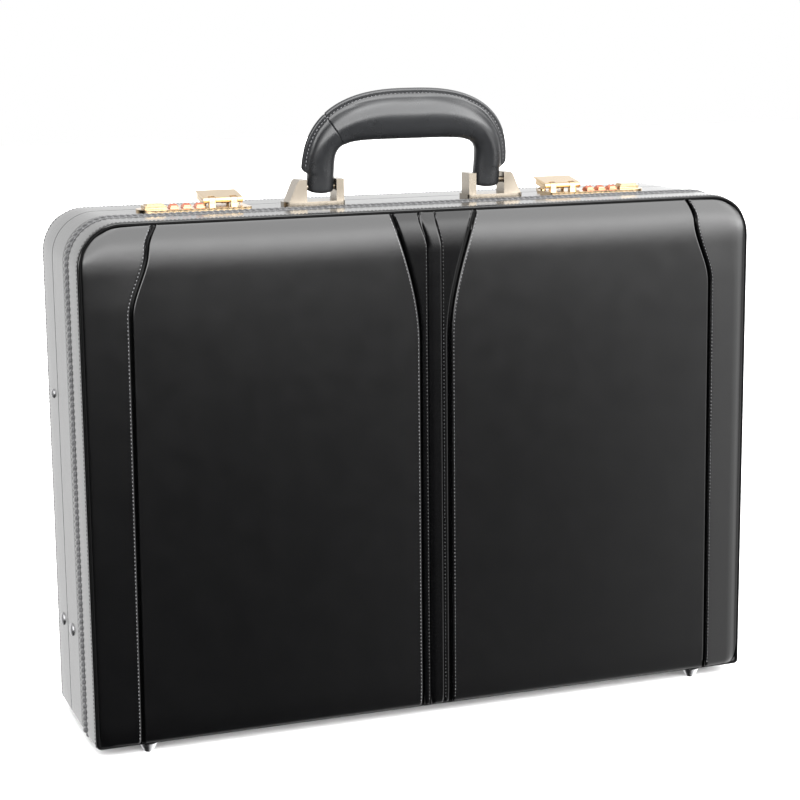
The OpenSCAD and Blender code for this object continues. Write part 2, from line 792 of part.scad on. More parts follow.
module track_rivets() color(STEEL) both_sides() {
    for (i = [0, 1]) {
        z = track_rivet_z[i];
        translate([side_x, track_y, z]) rivet_head(i == 0 ? 4.2 : 3, 1.6);
        x_cyl(track_x1 - track_depth, side_x, track_y, z, track_rivet_r);
    }
}

arm_half = 5;

// A lid stay: a flat steel arm, drawn on the +X side
module stay() translate([arm_x1 - arm_t, stay_y, stay_z]) rotate([-stay_lean, 0, 0]) difference() {
    union() {
        block([0, -arm_half, 0], [arm_t, arm_half, stay_l]);
        x_cyl(0, arm_t, 0, 0, arm_half);
        x_cyl(0, arm_t, 0, stay_l, arm_half);
    }
    x_cyl(-1, arm_t + 1, 0, 0, stay_rivet_r + running);
    x_cyl(-1, arm_t + 1, 0, stay_l, 1.7);
}

module left_stay() color(STEEL) mirror([1, 0, 0]) stay();
module right_stay() color(STEEL) stay();

shoe_z = stay_z + stay_l * cos(stay_lean);

// The shoe that slides in the track, with the stub of its pin towards the arm
module shoe() {
    x0 = track_x1 - track_depth;
    x1 = track_x1 - track_floor - 0.1;
    half = track_half - 1.3;
    block([x0, track_y - half, shoe_z - 7], [x1, track_y + half, shoe_z + 7]);
    x_cyl(arm_x1 + 0.2, x0, track_y, shoe_z, 3);
}

module left_stay_shoe() color(STEEL) mirror([1, 0, 0]) shoe();
module right_stay_shoe() color(STEEL) shoe();

base_frame();
base_board();
base_band();
base_leather();
base_welt();
base_lining();
closing_lip();
front_piping();
front_panels();
front_side_strips();
front_inset();
front_ridge();
lid_frame();
lid_board();
lid_leather();
lid_lining();
rear_piping();
rear_panel();
rear_side_strips();
file_pockets();
pen_loops();
base_feet();
lid_feet();
hinge_base_leaf();
hinge_lid_leaf();
hinge_pin();
hinge_base_screws();
hinge_lid_screws();
handle_brackets();
bracket_screws();
handle_pins();
handle_core();
handle_leather();
lock_plates();
lock_cases();
lock_rivets();
dial_spindles();
latch_pins();
latch_springs();
button_springs();
dial_springs();
strikes();
strike_rivets();
left_hasp();
right_hasp();
left_button();
right_button();
left_dial_1();
left_dial_2();
left_dial_3();
right_dial_1();
right_dial_2();
right_dial_3();
stay_rivets();
stay_tracks();
track_rivets();
left_stay();
right_stay();
left_stay_shoe();
right_stay_shoe();
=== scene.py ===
"""Looks for the leather attache case: leather, stitching, metal and light round the CAD frame.

Everything is in metres in the CAD's own frame: X across the case, -Y out of the front face, +Z up.
A side of -1 means the front of the case, and 1 the rear.
"""
import json
import math

import bpy
import numpy as np
from mathutils import Matrix, Vector


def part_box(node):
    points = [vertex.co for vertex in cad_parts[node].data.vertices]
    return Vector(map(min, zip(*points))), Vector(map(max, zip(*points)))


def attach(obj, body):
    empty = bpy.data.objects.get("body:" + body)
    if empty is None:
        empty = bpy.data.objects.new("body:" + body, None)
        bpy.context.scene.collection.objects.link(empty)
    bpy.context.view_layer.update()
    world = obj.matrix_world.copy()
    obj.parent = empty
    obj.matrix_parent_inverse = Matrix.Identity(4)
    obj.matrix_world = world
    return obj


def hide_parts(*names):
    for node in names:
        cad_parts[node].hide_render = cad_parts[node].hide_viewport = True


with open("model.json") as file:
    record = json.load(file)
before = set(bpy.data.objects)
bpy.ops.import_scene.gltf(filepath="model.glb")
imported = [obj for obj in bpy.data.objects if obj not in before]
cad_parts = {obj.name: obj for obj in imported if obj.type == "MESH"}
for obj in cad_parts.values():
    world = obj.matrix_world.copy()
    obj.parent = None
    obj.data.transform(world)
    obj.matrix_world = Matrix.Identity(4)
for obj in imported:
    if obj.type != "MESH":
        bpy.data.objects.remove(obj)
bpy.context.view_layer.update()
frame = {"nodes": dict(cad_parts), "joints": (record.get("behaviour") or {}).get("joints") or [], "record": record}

MM = 0.001

# ---------- driving dimensions, read from the frame ----------

BAND_LOW, BAND_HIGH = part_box("base_band")
LEATHER_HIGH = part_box("base_leather")[1]
LID_LOW, LID_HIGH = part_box("lid_leather")
WELT_LOW, WELT_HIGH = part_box("base_welt")
PANEL_LOW, PANEL_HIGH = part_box("front_panels")
STRIP_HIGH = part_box("front_side_strips")[1]

HALF_W = BAND_HIGH.x
BOTTOM_Z, TOP_Z = BAND_LOW.z, BAND_HIGH.z
FRONT_Y, REAR_Y = BAND_LOW.y, LID_HIGH.y
BASE_END, LID_START = LEATHER_HIGH.y, LID_LOW.y
WELT_Y = (WELT_LOW.y + WELT_HIGH.y) / 2
PAD_T = FRONT_Y - PANEL_LOW.y
PAD_GROW = 1.2 * MM                 # the padded leather reaches this much past its CAD outline
PAD_INSET = HALF_W - STRIP_HIGH.x - PAD_GROW
PAD_R = 21 * MM                     # radius of the padded face's top corners
SKIN = 1.5 * MM                     # outer leather
SHELL = 8.5 * MM                    # leather and wood together
TOP_R = 28 * MM                     # corner radii of the walls' outline
BOTTOM_R = 4 * MM
LEAST_R = 0.5 * MM
ROLL = 1.7 * MM                     # radius of the leather where it wraps an outer edge
TUCK = 0.05 * MM                    # clearance between a covering and the board under it

CORNER_STEPS, STRAIGHT_STEPS = 14, 30
TANGENT_STEP = 0.2 * MM

# edges up to these angles in degrees are shaded smooth
LEATHER_SMOOTH, PAD_SMOOTH, GRIP_SMOOTH, ALL_SMOOTH = 40, 50, 60, 180

# ---------- meshes ----------


def new_object(name, verts, faces, material, slot=None, smooth_angle=LEATHER_SMOOTH):
    """A mesh object from plain lists, smooth except over edges sharper than the angle."""
    mesh = bpy.data.meshes.new(name)
    mesh.from_pydata([tuple(v) for v in verts], [], [tuple(f) for f in faces])
    mesh.validate()
    mesh.update()
    mesh.polygons.foreach_set("use_smooth", [True] * len(mesh.polygons))
    mesh.set_sharp_from_angle(angle=math.radians(smooth_angle))
    mesh.materials.append(material)
    obj = bpy.data.objects.new(name, mesh)
    bpy.context.scene.collection.objects.link(obj)
    return obj


def add_piece(name, shape, slot, body, replaced=None, material=None, smooth_angle=LEATHER_SMOOTH):
    """A new piece that rides a body, in the place of a CAD node if one is named."""
    obj = new_object(name, *shape, material or MATERIALS[slot], slot, smooth_angle)
    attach(obj, body)
    if replaced:
        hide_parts(replaced)


def join_parts(parts):
    """One vertex list and one face list from several (verts, faces) pairs."""
    verts, faces = [], []
    for part_verts, part_faces in parts:
        start = len(verts)
        verts.extend(part_verts)
        faces.extend([[i + start for i in f] for f in part_faces])
    return verts, faces


def flipped(faces):
    return [f[::-1] for f in faces]


def loop_faces(loops, size, closed=False, inside_out=False):
    """Quads between loops of points; closed joins the last loop to the first."""
    faces = []
    for i in range(loops if closed else loops - 1):
        a, b = i * size, (i + 1) % loops * size
        for j in range(size):
            k = (j + 1) % size
            quad = [a + j, a + k, b + k, b + j]
            faces.append([quad[c] for c in (0, 3, 2, 1)] if inside_out else quad)
    return faces


def cap_faces(loops, size):
    """The two faces that close the first and last of several loops."""
    return [list(range(size))[::-1], list(range((loops - 1) * size, loops * size))]


def slab_faces(rows, columns):
    """A closed slab from a grid of front points followed by the same grid of back points."""
    n, m = rows, columns
    faces = []
    for i in range(n - 1):
        for j in range(m - 1):
            a = i * m + j
            quad = [a, a + 1, a + m + 1, a + m]
            faces += [quad, [k + n * m for k in reversed(quad)]]
    rim = list(range(m)) + [i * m + m - 1 for i in range(1, n)]
    rim += [(n - 1) * m + j for j in range(m - 2, -1, -1)] + [i * m for i in range(n - 2, 0, -1)]
    return faces + [[b, a, a + n * m, b + n * m] for a, b in zip(rim, rim[1:] + rim[:1])]


def on_arc(centre, radius, degrees):
    a = math.radians(degrees)
    return np.array((centre[0] + radius * math.cos(a), centre[1] + radius * math.sin(a)))


def outline(inset):
    """The walls' outline in X and Z, moved inwards by inset.

    It starts halfway down the right side and runs anticlockwise over the top, and always has the
    same number of points, so outlines at different insets can be joined into a skin.
    """
    top_r, bottom_r = max(TOP_R - inset, LEAST_R), max(BOTTOM_R - inset, LEAST_R)
    half, low, high = HALF_W - inset, BOTTOM_Z + inset, TOP_Z - inset
    corners = [((half - top_r, high - top_r), top_r), ((top_r - half, high - top_r), top_r),
               ((bottom_r - half, low + bottom_r), bottom_r),
               ((half - bottom_r, low + bottom_r), bottom_r)]
    points = []
    for k, corner in enumerate(corners):
        start, end = 90 * k, 90 * k + 90
        points += [on_arc(*corner, start + 90 * i / CORNER_STEPS) for i in range(CORNER_STEPS)]
        first, last = on_arc(*corner, end), on_arc(*corners[(k + 1) % 4], end)
        points += [first + (last - first) * i / STRAIGHT_STEPS for i in range(STRAIGHT_STEPS)]
    return np.array(points)


def ring_line(y, inset):
    return [(x, y, z) for x, z in outline(inset)]


def ring_skin(profile):
    """A closed skin: a closed profile of (y, inset) points carried round the walls' outline."""
    verts = []
    for y, inset in profile:
        verts += ring_line(y, inset)
    return verts, loop_faces(len(profile), len(verts) // len(profile), closed=True)


def rounded(y_mid, inset_mid, radius_y, radius_in, start, end, steps):
    """Profile points on an ellipse, angle 0 along +y and 90 towards the outside."""
    return [(y_mid + radius_y * math.cos(a), inset_mid - radius_in * math.sin(a))
            for a in np.radians(np.linspace(start, end, steps))]


def walk(points, pitch, closed=False):
    """Places every pitch along a polyline: positions and unit tangents."""
    pts = np.array(points, float)
    if closed:
        pts = np.vstack([pts, pts[:1]])
    lengths = np.linalg.norm(np.diff(pts, axis=0), axis=1)
    along = np.concatenate([[0], np.cumsum(lengths)])
    count = max(2, round(along[-1] / pitch))
    s = (np.arange(count) + 0.5) * along[-1] / count

    def at(distance):
        return np.stack([np.interp(distance, along, pts[:, k]) for k in range(3)], axis=1)
    ahead, behind = np.minimum(s + TANGENT_STEP, along[-1]), np.maximum(s - TANGENT_STEP, 0)
    return at(s), unit(at(ahead) - at(behind))


def unit(vectors):
    vectors = np.asarray(vectors, float)
    return vectors / np.linalg.norm(vectors, axis=-1, keepdims=True)


def bead_template(rings, segments):
    """A unit ball as rings of points along its first axis."""
    verts = [(-1.0, 0.0, 0.0)]
    for i in range(1, rings):
        a = math.pi * i / rings
        for j in range(segments):
            b = 2 * math.pi * j / segments
            verts.append((-math.cos(a), math.sin(a) * math.cos(b), math.sin(a) * math.sin(b)))
    verts.append((1.0, 0.0, 0.0))
    last = len(verts) - 1
    tail = last - segments
    around = [(j, (j + 1) % segments) for j in range(segments)]
    faces = [[0, 1 + k, 1 + j] for j, k in around]
    for a in range(1, tail, segments):
        b = a + segments
        faces += [[a + j, a + k, b + k, b + j] for j, k in around]
    return np.array(verts), faces + [[tail + j, tail + k, last] for j, k in around]


def beads(where, along, up, size, squareness, rings=6, segments=8):
    """Rounded lumps, such as stitches: size is the half length along, across and up."""
    template, template_faces = bead_template(rings, segments)
    template[:, 0] = np.sign(template[:, 0]) * np.abs(template[:, 0]) ** squareness
    local = template * np.array(size)
    along, up = unit(along), np.asarray(up, float)
    across = unit(np.cross(up, along))
    up = np.cross(along, across)
    return join_parts([([tuple(p + v[0] * t + v[1] * c + v[2] * n) for v in local], template_faces)
                       for p, t, c, n in zip(where, along, across, up)])


def stitch_row(points, up, pitch, length, width, sunk=0.35):
    """Stitches along a line. up is one normal, or a function from place to normal."""
    where, tangent = walk(points, pitch)
    normals = np.array([up(p) for p in where]) if callable(up) else np.tile(up, (len(where), 1))
    where = where - normals * width * sunk
    return beads(where, tangent, normals, (length / 2, width / 2, width / 2), squareness=0.7)


# ---------- materials ----------


class Nodes:
    """A few words for building a material's node tree."""

    def __init__(self, name):
        self.material = bpy.data.materials.new(name)
        self.material.use_nodes = True
        self.tree = self.material.node_tree
        self.shader = self.tree.nodes["Principled BSDF"]
        self.place = self.add("ShaderNodeTexCoord").outputs["Object"]

    def add(self, kind, **settings):
        node = self.tree.nodes.new(kind)
        for key, value in settings.items():
            setattr(node, key, value)
        return node

    def feed(self, node, values):
        """Sets a node's inputs, by name, to numbers, tuples or other nodes' outputs."""
        for name, value in values.items():
            if isinstance(value, (int, float, tuple)):
                node.inputs[name].default_value = value
            else:
                self.tree.links.new(value, node.inputs[name])
        return node

    def shade(self, values):
        self.feed(self.shader, values)

    def stretched(self, *scale):
        """The place in the object, scaled by axis, for a pattern drawn out along one of them."""
        node = self.feed(self.add("ShaderNodeMapping"), {"Scale": scale, "Vector": self.place})
        return node.outputs["Vector"]

    def noise(self, scale, detail=3.0, distortion=0.0, place=None):
        node = self.feed(self.add("ShaderNodeTexNoise"), {
            "Scale": scale, "Detail": detail, "Distortion": distortion,
            "Vector": place or self.place})
        return node.outputs["Fac"]

    def cells(self, scale):
        node = self.add("ShaderNodeTexVoronoi", feature="F1")
        return self.feed(node, {"Scale": scale, "Vector": self.place}).outputs["Distance"]

    def wave(self, direction, scale, distortion=0.0):
        node = self.add("ShaderNodeTexWave", bands_direction=direction)
        return self.feed(node, {"Scale": scale, "Distortion": distortion,
                                "Vector": self.place}).outputs["Fac"]

    def remap(self, value, low, high, from_low=0.0, from_high=1.0):
        node = self.feed(self.add("ShaderNodeMapRange"), {
            "From Min": from_low, "From Max": from_high, "To Min": low, "To Max": high,
            "Value": value})
        return node.outputs["Result"]

    def mix(self, factor, a, b):
        node = self.add("ShaderNodeMix", data_type="RGBA")
        return self.feed(node, {"A": (*a, 1), "B": (*b, 1), "Factor": factor}).outputs["Result"]

    def bumps(self, *layers):
        """Stacks (value, strength, distance in mm) layers of bump into the shader's normal."""
        last = None
        for value, strength, distance in layers:
            node = self.feed(self.add("ShaderNodeBump"), {
                "Strength": strength, "Distance": distance * MM, "Height": value})
            if last is not None:
                self.feed(node, {"Normal": last})
            last = node.outputs["Normal"]
        self.shade({"Normal": last})


SPREAD = (0, 1, 0.3, 0.7)           # stretches a noise's usual range to its full one


def darker(color, share):
    return tuple(c * share for c in color)


def leather(name, color, rough_low, rough_high, grain, specular=0.5):
    """Finished leather: pores and faint creases under a thin polish."""
    n = Nodes(name)
    tone = n.remap(n.noise(260, detail=4), *SPREAD)
    polish = n.remap(n.noise(70, detail=5), rough_low, rough_high, 0.3, 0.7)
    n.shade({"Base Color": n.mix(tone, darker(color, 0.8), color), "Roughness": polish,
             "Specular IOR Level": specular})
    creases, pores, fine = n.noise(110, detail=4, distortion=0.6), n.cells(1150), n.noise(2600, 2)
    n.bumps((creases, 0.08, 0.25), (pores, grain, 0.08), (fine, grain * 0.7, 0.03))
    return n.material


def thread(name, color, roughness):
    """Waxed thread with its plies twisted across the stitch."""
    n = Nodes(name)
    n.shade({"Base Color": n.mix(n.noise(900), darker(color, 0.7), color), "Roughness": roughness,
             "Sheen Weight": 0.3})
    n.bumps((n.wave("DIAGONAL", 900), 0.35, 0.12))
    return n.material


def metal(name, color, rough_low, rough_high, scratch=0.06):
    """Plated metal: polish that varies a little and hairline scratches."""
    n = Nodes(name)
    worn = n.noise(90, detail=4)
    n.shade({"Base Color": n.mix(n.remap(worn, *SPREAD), darker(color, 0.95), color),
             "Metallic": 1.0, "Roughness": n.remap(worn, rough_low, rough_high, 0.3, 0.7)})
    n.bumps((n.noise(1, detail=2, place=n.stretched(120, 2600, 2600)), scratch, 0.01))
    return n.material


def cloth(name, dark, light, threads_per_m=1400):
    """A drill lining: fine crossed threads."""
    n = Nodes(name)
    weave = [(n.wave(axis, threads_per_m / 6, 0.4), 0.25, 0.12) for axis in "XYZ"]
    n.shade({"Base Color": n.mix(n.noise(700), dark, light), "Roughness": 0.9,
             "Sheen Weight": 0.25})
    n.bumps(*weave, (n.noise(60), 0.1, 0.4))
    return n.material


def wood(name, dark, light):
    """Plain timber with its grain along X."""
    n = Nodes(name)
    grain = n.noise(1, detail=6, distortion=1.2, place=n.stretched(8, 160, 160))
    n.shade({"Base Color": n.mix(n.remap(grain, *SPREAD), dark, light),
             "Roughness": n.remap(grain, 0.55, 0.8)})
    n.bumps((grain, 0.3, 0.15))
    return n.material


BLACK = (0.0006, 0.0006, 0.0007)
MATERIALS = {
    "black_leather": leather("black_leather", (0.0009, 0.0009, 0.0010), 0.175, 0.195, 0.05),
    "trim_leather": leather("trim_leather", BLACK, 0.14, 0.16, 0.04, 0.3),
    "handle_leather": leather("handle_leather", (0.011, 0.0115, 0.0125), 0.26, 0.30, 0.10),
    "organiser": leather("organiser", (0.018, 0.016, 0.016), 0.5, 0.62, 0.2),
    "lining": cloth("lining", (0.035, 0.028, 0.024), (0.07, 0.058, 0.05)),
    "wood": wood("wood", (0.42, 0.27, 0.14), (0.68, 0.50, 0.31)),
    "gold": metal("gold", (0.50, 0.37, 0.22), 0.14, 0.20),
    "pale_gold": metal("pale_gold", (0.26, 0.228, 0.186), 0.22, 0.28),
    "dial_gold": metal("dial_gold", (0.62, 0.20, 0.12), 0.16, 0.24),
    "steel": metal("steel", (0.46, 0.46, 0.47), 0.36, 0.44, scratch=0.1),
    "nickel": metal("nickel", (0.58, 0.58, 0.59), 0.22, 0.30),
}
WELT_LEATHER = leather("welt_leather", (0.050, 0.050, 0.052), 0.34, 0.42, 0.3, 0.6)
PIPING_LEATHER = leather("piping_leather", BLACK, 0.5, 0.6, 0.1, 0.06)
# The seam thread's grey is partly its own colour and partly painted sheen: it is lighter than the real grey-black
# thread, so the stitches show as lit dashes.
SEAM_THREAD_WITH_PAINTED_SHEEN = thread("seam_thread_with_painted_sheen", (0.085, 0.085, 0.09), 0.42)
DARK_THREAD = thread("dark_thread", (0.012, 0.012, 0.013), 0.5)

for part in frame["record"]["subparts"]:
    mesh = frame["nodes"][part["node"]].data
    mesh.materials.clear()
    mesh.materials.append(MATERIALS[part["material_slot"]])

# ---------- the leather walls ----------

CROWN = 0.4 * MM                    # how much the walls fall away to their outer edges
CROWN_POWER = 6                     # how late they fall away
TURN_IN = 5.0 * MM                  # how far the leather reaches in over a board
TURN_T = 0.25 * MM                  # its thickness there
SPLIT_ROLL = 0.5 * MM               # radius of the leather's edge where the shells meet
SPLIT_T = 1.2 * MM
UNDER_WELT = 1.4 * MM               # how deep the leather lies under the welt
ROLL_END, SPLIT_END, WELT_END = 2.6 * MM, 1.6 * MM, 0.6 * MM  # where a wall's flat part starts


def crown(y):
    """The inset that gives the walls their slight crown from front to back."""
    t = min(1.0, abs(2 * y / (REAR_Y - FRONT_Y)))
    return CROWN * t ** CROWN_POWER


def wall_points(y0, y1, steps):
    return [(y, crown(y)) for y in np.linspace(y0, y1, steps)]


def wrapped_edge(edge_y, side):
    """Profile points of leather wrapped round a board's edge, from the board's face outwards."""
    centre_y = edge_y - side * SKIN
    points = [(edge_y + side * TUCK, SKIN), (edge_y + side * TUCK, TURN_IN),
              (edge_y + side * TURN_T, TURN_IN - 0.2 * MM)]
    angles = (180, 95) if side < 0 else (0, 85)
    return points + rounded(centre_y, crown(centre_y) + ROLL, ROLL, ROLL, *angles, 9)


def split_edge(y, side):
    """Profile points of leather turned over the edge where the shells meet."""
    turned, inner = y + side * TUCK, y - side * SPLIT_T
    return [(turned - side * SPLIT_ROLL * (1 - math.sin(a)), SPLIT_ROLL * (1 - math.cos(a)))
            for a in np.radians(np.linspace(0, 90, 5))] + [
        (turned, SHELL), (inner, SHELL), (inner, SKIN)]


def welt_dip(edge_y, side):
    """Profile points where the leather dips under the welt, from its edge to its middle."""
    return [(edge_y + side * dip, dip) for dip in (0.3 * MM, 1.2 * MM)] + [
        (WELT_Y, UNDER_WELT), (WELT_Y, SKIN)]


def wall_band():
    """The leather round the front edge: wrapped over the board in front, tucked under the welt."""
    return ring_skin(wrapped_edge(FRONT_Y, -1)
                     + wall_points(FRONT_Y + ROLL_END, WELT_LOW.y - WELT_END, 8)
                     + welt_dip(WELT_LOW.y, 1))


def wall_side():
    """The leather from the welt back to the split, turned over the wooden edge."""
    return ring_skin(welt_dip(WELT_HIGH.y, -1)[::-1]
                     + wall_points(WELT_HIGH.y + WELT_END, BASE_END - SPLIT_END, 6)
                     + split_edge(BASE_END, 1))


def wall_rear():
    """The rear shell's leather, from the split to the edge of the rear board."""
    return ring_skin(split_edge(LID_START, -1)[::-1]
                     + wall_points(LID_START + SPLIT_END, REAR_Y - ROLL_END, 8)
                     + wrapped_edge(REAR_Y, 1)[::-1])


def outward(places):
    """The walls' outward normals at places on their outline."""
    normals = []
    for x, _, z in places:
        r = TOP_R if z > (TOP_Z + BOTTOM_Z) / 2 else BOTTOM_R
        dx = max(0.0, abs(x) - (HALF_W - r))
        dz = max(0.0, z - (TOP_Z - r)) - max(0.0, BOTTOM_Z + r - z)
        if dx == 0 and dz == 0:
            dx, dz = 1.0, 0.0
        normals.append(unit((math.copysign(dx, x), 0, dz)))
    return np.array(normals)


def ring_stitches(y, pitch, length, width, slant=None, inset=0.0, depth=None):
    """Stitches or beads right round the walls: along the wall, or across it at a slant."""
    where, tangent = walk(ring_line(y, crown(y) + inset), pitch, closed=True)
    along = tangent if slant is None else unit(
        np.array([0, 1, 0]) * math.cos(slant) + tangent * math.sin(slant))
    size = (length / 2, width / 2, (depth or width) / 2)
    return beads(where, along, outward(where), size, squareness=0.75)


WELT_HALF, WELT_RISE, WELT_FOOT = 4.3 * MM, 0.45 * MM, 1.0 * MM
OVERCAST = dict(pitch=4.0 * MM, length=9.4 * MM, width=3.9 * MM, slant=math.radians(20),
                inset=0.1 * MM, depth=2.9 * MM)
EDGE_STITCH = dict(pitch=2.6 * MM, length=1.7 * MM, width=0.6 * MM)
EDGE_STITCH_IN = 3.0 * MM


def welt():
    """The welt: a bound seam between the two leathers under thick overcast cord."""
    bound = [(WELT_Y - WELT_HALF * math.cos(a), crown(WELT_Y) - WELT_RISE * math.sin(a))
             for a in np.linspace(0, math.pi, 13)]
    bound += [(WELT_Y + WELT_HALF, WELT_FOOT), (WELT_Y - WELT_HALF, WELT_FOOT)]
    return join_parts([ring_skin(bound), ring_stitches(WELT_Y, **OVERCAST)])


add_piece("band_leather", wall_band(), "black_leather", "base", "base_band")
add_piece("side_leather", wall_side(), "black_leather", "base", "base_leather")
add_piece("rear_leather", wall_rear(), "black_leather", "lid", "lid_leather")
add_piece("welt_overcast", welt(), "trim_leather", "base", "base_welt", WELT_LEATHER, ALL_SMOOTH)
for name, y, body in (("front_edge_stitches", FRONT_Y + EDGE_STITCH_IN, "base"),
                      ("rear_edge_stitches", REAR_Y - EDGE_STITCH_IN, "lid")):
    add_piece(name, ring_stitches(y, **EDGE_STITCH), "trim_leather", body,
              material=DARK_THREAD, smooth_angle=ALL_SMOOTH)

# ---------- piping and backing round and under the padded faces ----------

PIPING_R = 0.9 * MM
PIPING_OUT, PIPING_IN = 0.55 * MM, 2.0 * MM     # its middle, in front of the board and inwards
BACKING_IN, BACKING_LOW, BACKING_HIGH = 3.4 * MM, 0.08 * MM, 0.35 * MM


def piping(y, side):
    """A round cord that fills the gap between the wall's edge and the padded face."""
    return ring_skin(rounded(y + side * PIPING_OUT, PIPING_IN, PIPING_R, PIPING_R, 0, 330, 12))


def backing(y, side):
    """Thin black leather on the board, seen only down the seams between the padded pieces."""
    verts = ring_line(y + side * BACKING_LOW, BACKING_IN)
    size = len(verts)
    verts += ring_line(y + side * BACKING_HIGH, BACKING_IN)
    faces = loop_faces(2, size) + cap_faces(2, size)
    return verts, flipped(faces) if side < 0 else faces


for name, body, y, side in (("front", "base", FRONT_Y, -1), ("rear", "lid", REAR_Y, 1)):
    add_piece(name + "_cord", piping(y, side), "trim_leather", body, name + "_piping",
              PIPING_LEATHER, ALL_SMOOTH)
for name, body, y, side in (("front", "base", FRONT_Y, -1), ("rear", "lid", REAR_Y, 1)):
    add_piece(name + "_backing", backing(y, side), "trim_leather", body)

# ---------- padded faces ----------

STRIP_W, STRIP_FLARE, STRIP_FLICK, STRIP_TAPER = 29.7 * MM, 11 * MM, 5 * MM, 0.006
STRIP_BEND = (16 * MM, 58 * MM)     # the strips widen between these depths below the top
FLICK_TOP = 3.5 * MM
INSET_HALF, INSET_FLARE, INSET_BEND = 9.8 * MM, 19.2 * MM, 85 * MM
VALLEY = 1.8 * MM                   # gap between the padded pieces
PAD_LOW, PAD_HIGH = PANEL_LOW.z - PAD_GROW, PANEL_HIGH.z + PAD_GROW
RIDGE_HALF, RIDGE_FLARE, RIDGE_LEAN = 4.75 * MM, 0.75 * MM, 4.5 * MM
RIDGE_BEND = (4 * MM, 26 * MM)      # it widens and leans between these depths below the top
INSET_SUNK, RIDGE_SUNK = 1.6 * MM, 0.2 * MM     # behind the level of the panels
EDGE_STEPS = np.array([0, 0.25, 0.6, 1.1, 1.8, 2.7, 3.8, 5.2, 7, 9.5, 12.5, 16, 20]) * MM
SIDE_EDGE, LOW_EDGE, HIGH_EDGE = 4 * MM, 9 * MM, 20 * MM    # widths with close steps


def ease(t):
    t = min(max(t, 0.0), 1.0)
    return t * t * (3 - 2 * t)


def seam_x(z):
    """The side seam's distance from the middle."""
    near, far = STRIP_BEND
    depth = TOP_Z - z
    width = (STRIP_W + STRIP_TAPER * (z - BOTTOM_Z)
             + STRIP_FLARE * ease((far - depth) / (far - near)))
    flick = STRIP_FLICK * max(0.0, (near - depth) / (near - FLICK_TOP)) ** 1.5
    return HALF_W - width - flick


def inset_x(z):
    """Half the width of the centre inset."""
    t = max(0.0, 1 - (TOP_Z - z) / INSET_BEND)
    return INSET_HALF + INSET_FLARE * t * t * (1.6 - 0.6 * t)


def edge_x(z, inset=PAD_INSET):
    """Half the width of the padded face at a height, round its corners."""
    half = HALF_W - inset
    for radius, limit in ((PAD_R, TOP_Z - inset - z), (BOTTOM_R - inset, z - BOTTOM_Z - inset)):
        if limit < radius:
            return half - radius + math.sqrt(max(0.0, radius ** 2 - (radius - limit) ** 2))
    return half


def ridge_ease(z):
    near, far = RIDGE_BEND
    return ease((z - TOP_Z + far) / (far - near))


def ridge_left(z):
    """The ridge leans to the left at the top, like a pleat."""
    return -RIDGE_LEAN * ridge_ease(z) - RIDGE_HALF - RIDGE_FLARE * ridge_ease(z)


def ridge_right(z):
    return -RIDGE_LEAN * ridge_ease(z) + RIDGE_HALF + RIDGE_FLARE * ridge_ease(z)


def spread(low, high, near_low, near_high, spacing):
    """Places from low to high, close together at both ends."""
    a = low + EDGE_STEPS[EDGE_STEPS <= near_low]
    b = high - EDGE_STEPS[EDGE_STEPS <= near_high][::-1]
    count = max(2, int((b[0] - a[-1]) / spacing))
    return np.concatenate([a, np.linspace(a[-1], b[0], count + 1)[1:-1], b])


class Pad:
    """A padded piece over a flat board: how far its face falls away near each edge, in mm.

    Each edge is (width of its roll, drop at the edge); tilt is the extra drop at the right edge.
    """

    def __init__(self, left, right, face, top=(30, 4.0), bottom=(15, 2.6), left_edge=(2.2, 2.2),
                 right_edge=(2.2, 2.2), swell=0.6, tilt=0.0):
        self.left, self.right, self.face = left, right, face
        self.edges = [(radius * MM, drop * MM)
                      for radius, drop in (top, bottom, left_edge, right_edge)]
        self.swell, self.tilt = swell * MM, tilt * MM

    def fall(self, x, z):
        """How far the face lies behind its highest level at a place."""
        xl, xr = self.left(z), self.right(z)
        gaps = (PAD_HIGH - z, z - PAD_LOW, x - xl, xr - x)
        near = [(max(0.0, 1 - gap / radius) ** 2, drop)
                for gap, (radius, drop) in zip(gaps, self.edges)]
        total = sum(q for q, _ in near)
        depth = 0.0
        if total > 0:
            drop = sum(q * d for q, d in near) / total
            depth = drop * (1 - math.sqrt(max(0.0, 1 - total)))
        across = (x - xl) / max(xr - xl, 1e-6)
        up = (z - PAD_LOW) / (PAD_HIGH - PAD_LOW) * 2 - 1
        bulge = self.swell * (1 - (2 * across - 1) ** 2) * (1 - up * up)
        return depth + self.tilt * across - bulge

    def mesh(self, side, spacing=4 * MM):
        """A closed solid: side -1 faces the front, 1 the rear."""
        board = FRONT_Y if side < 0 else REAR_Y
        rows = spread(PAD_LOW, PAD_HIGH, LOW_EDGE, HIGH_EDGE, spacing)
        columns = len(spread(self.left(rows[0]), self.right(rows[0]), SIDE_EDGE, SIDE_EDGE,
                             spacing))
        edge_steps = EDGE_STEPS[EDGE_STEPS <= SIDE_EDGE]
        front, back = [], []
        for z in rows:
            xl, xr = self.left(z), self.right(z)
            near = edge_steps * min(1.0, (xr - xl) / (3 * edge_steps[-1]))
            middle = np.linspace(xl + near[-1], xr - near[-1], columns - 2 * len(near) + 2)[1:-1]
            for x in np.concatenate([xl + near, middle, (xr - near)[::-1]]):
                front.append((x, board + side * (self.face - self.fall(x, z)), z))
                back.append((x, board, z))
        faces = slab_faces(len(rows), columns)
        return front + back, flipped(faces) if side > 0 else faces


def mirrored(part):
    """The same part on the other side of the case."""
    verts, faces = part
    return [(-x, y, z) for x, y, z in verts], flipped(faces)


def panel_left(z):
    return inset_x(z) + VALLEY / 2


def panel_right(z):
    return seam_x(z) - VALLEY / 2


def strip_left(z):
    return seam_x(z) + VALLEY / 2


def inset_right_edge(z):
    return inset_x(z) - VALLEY / 2


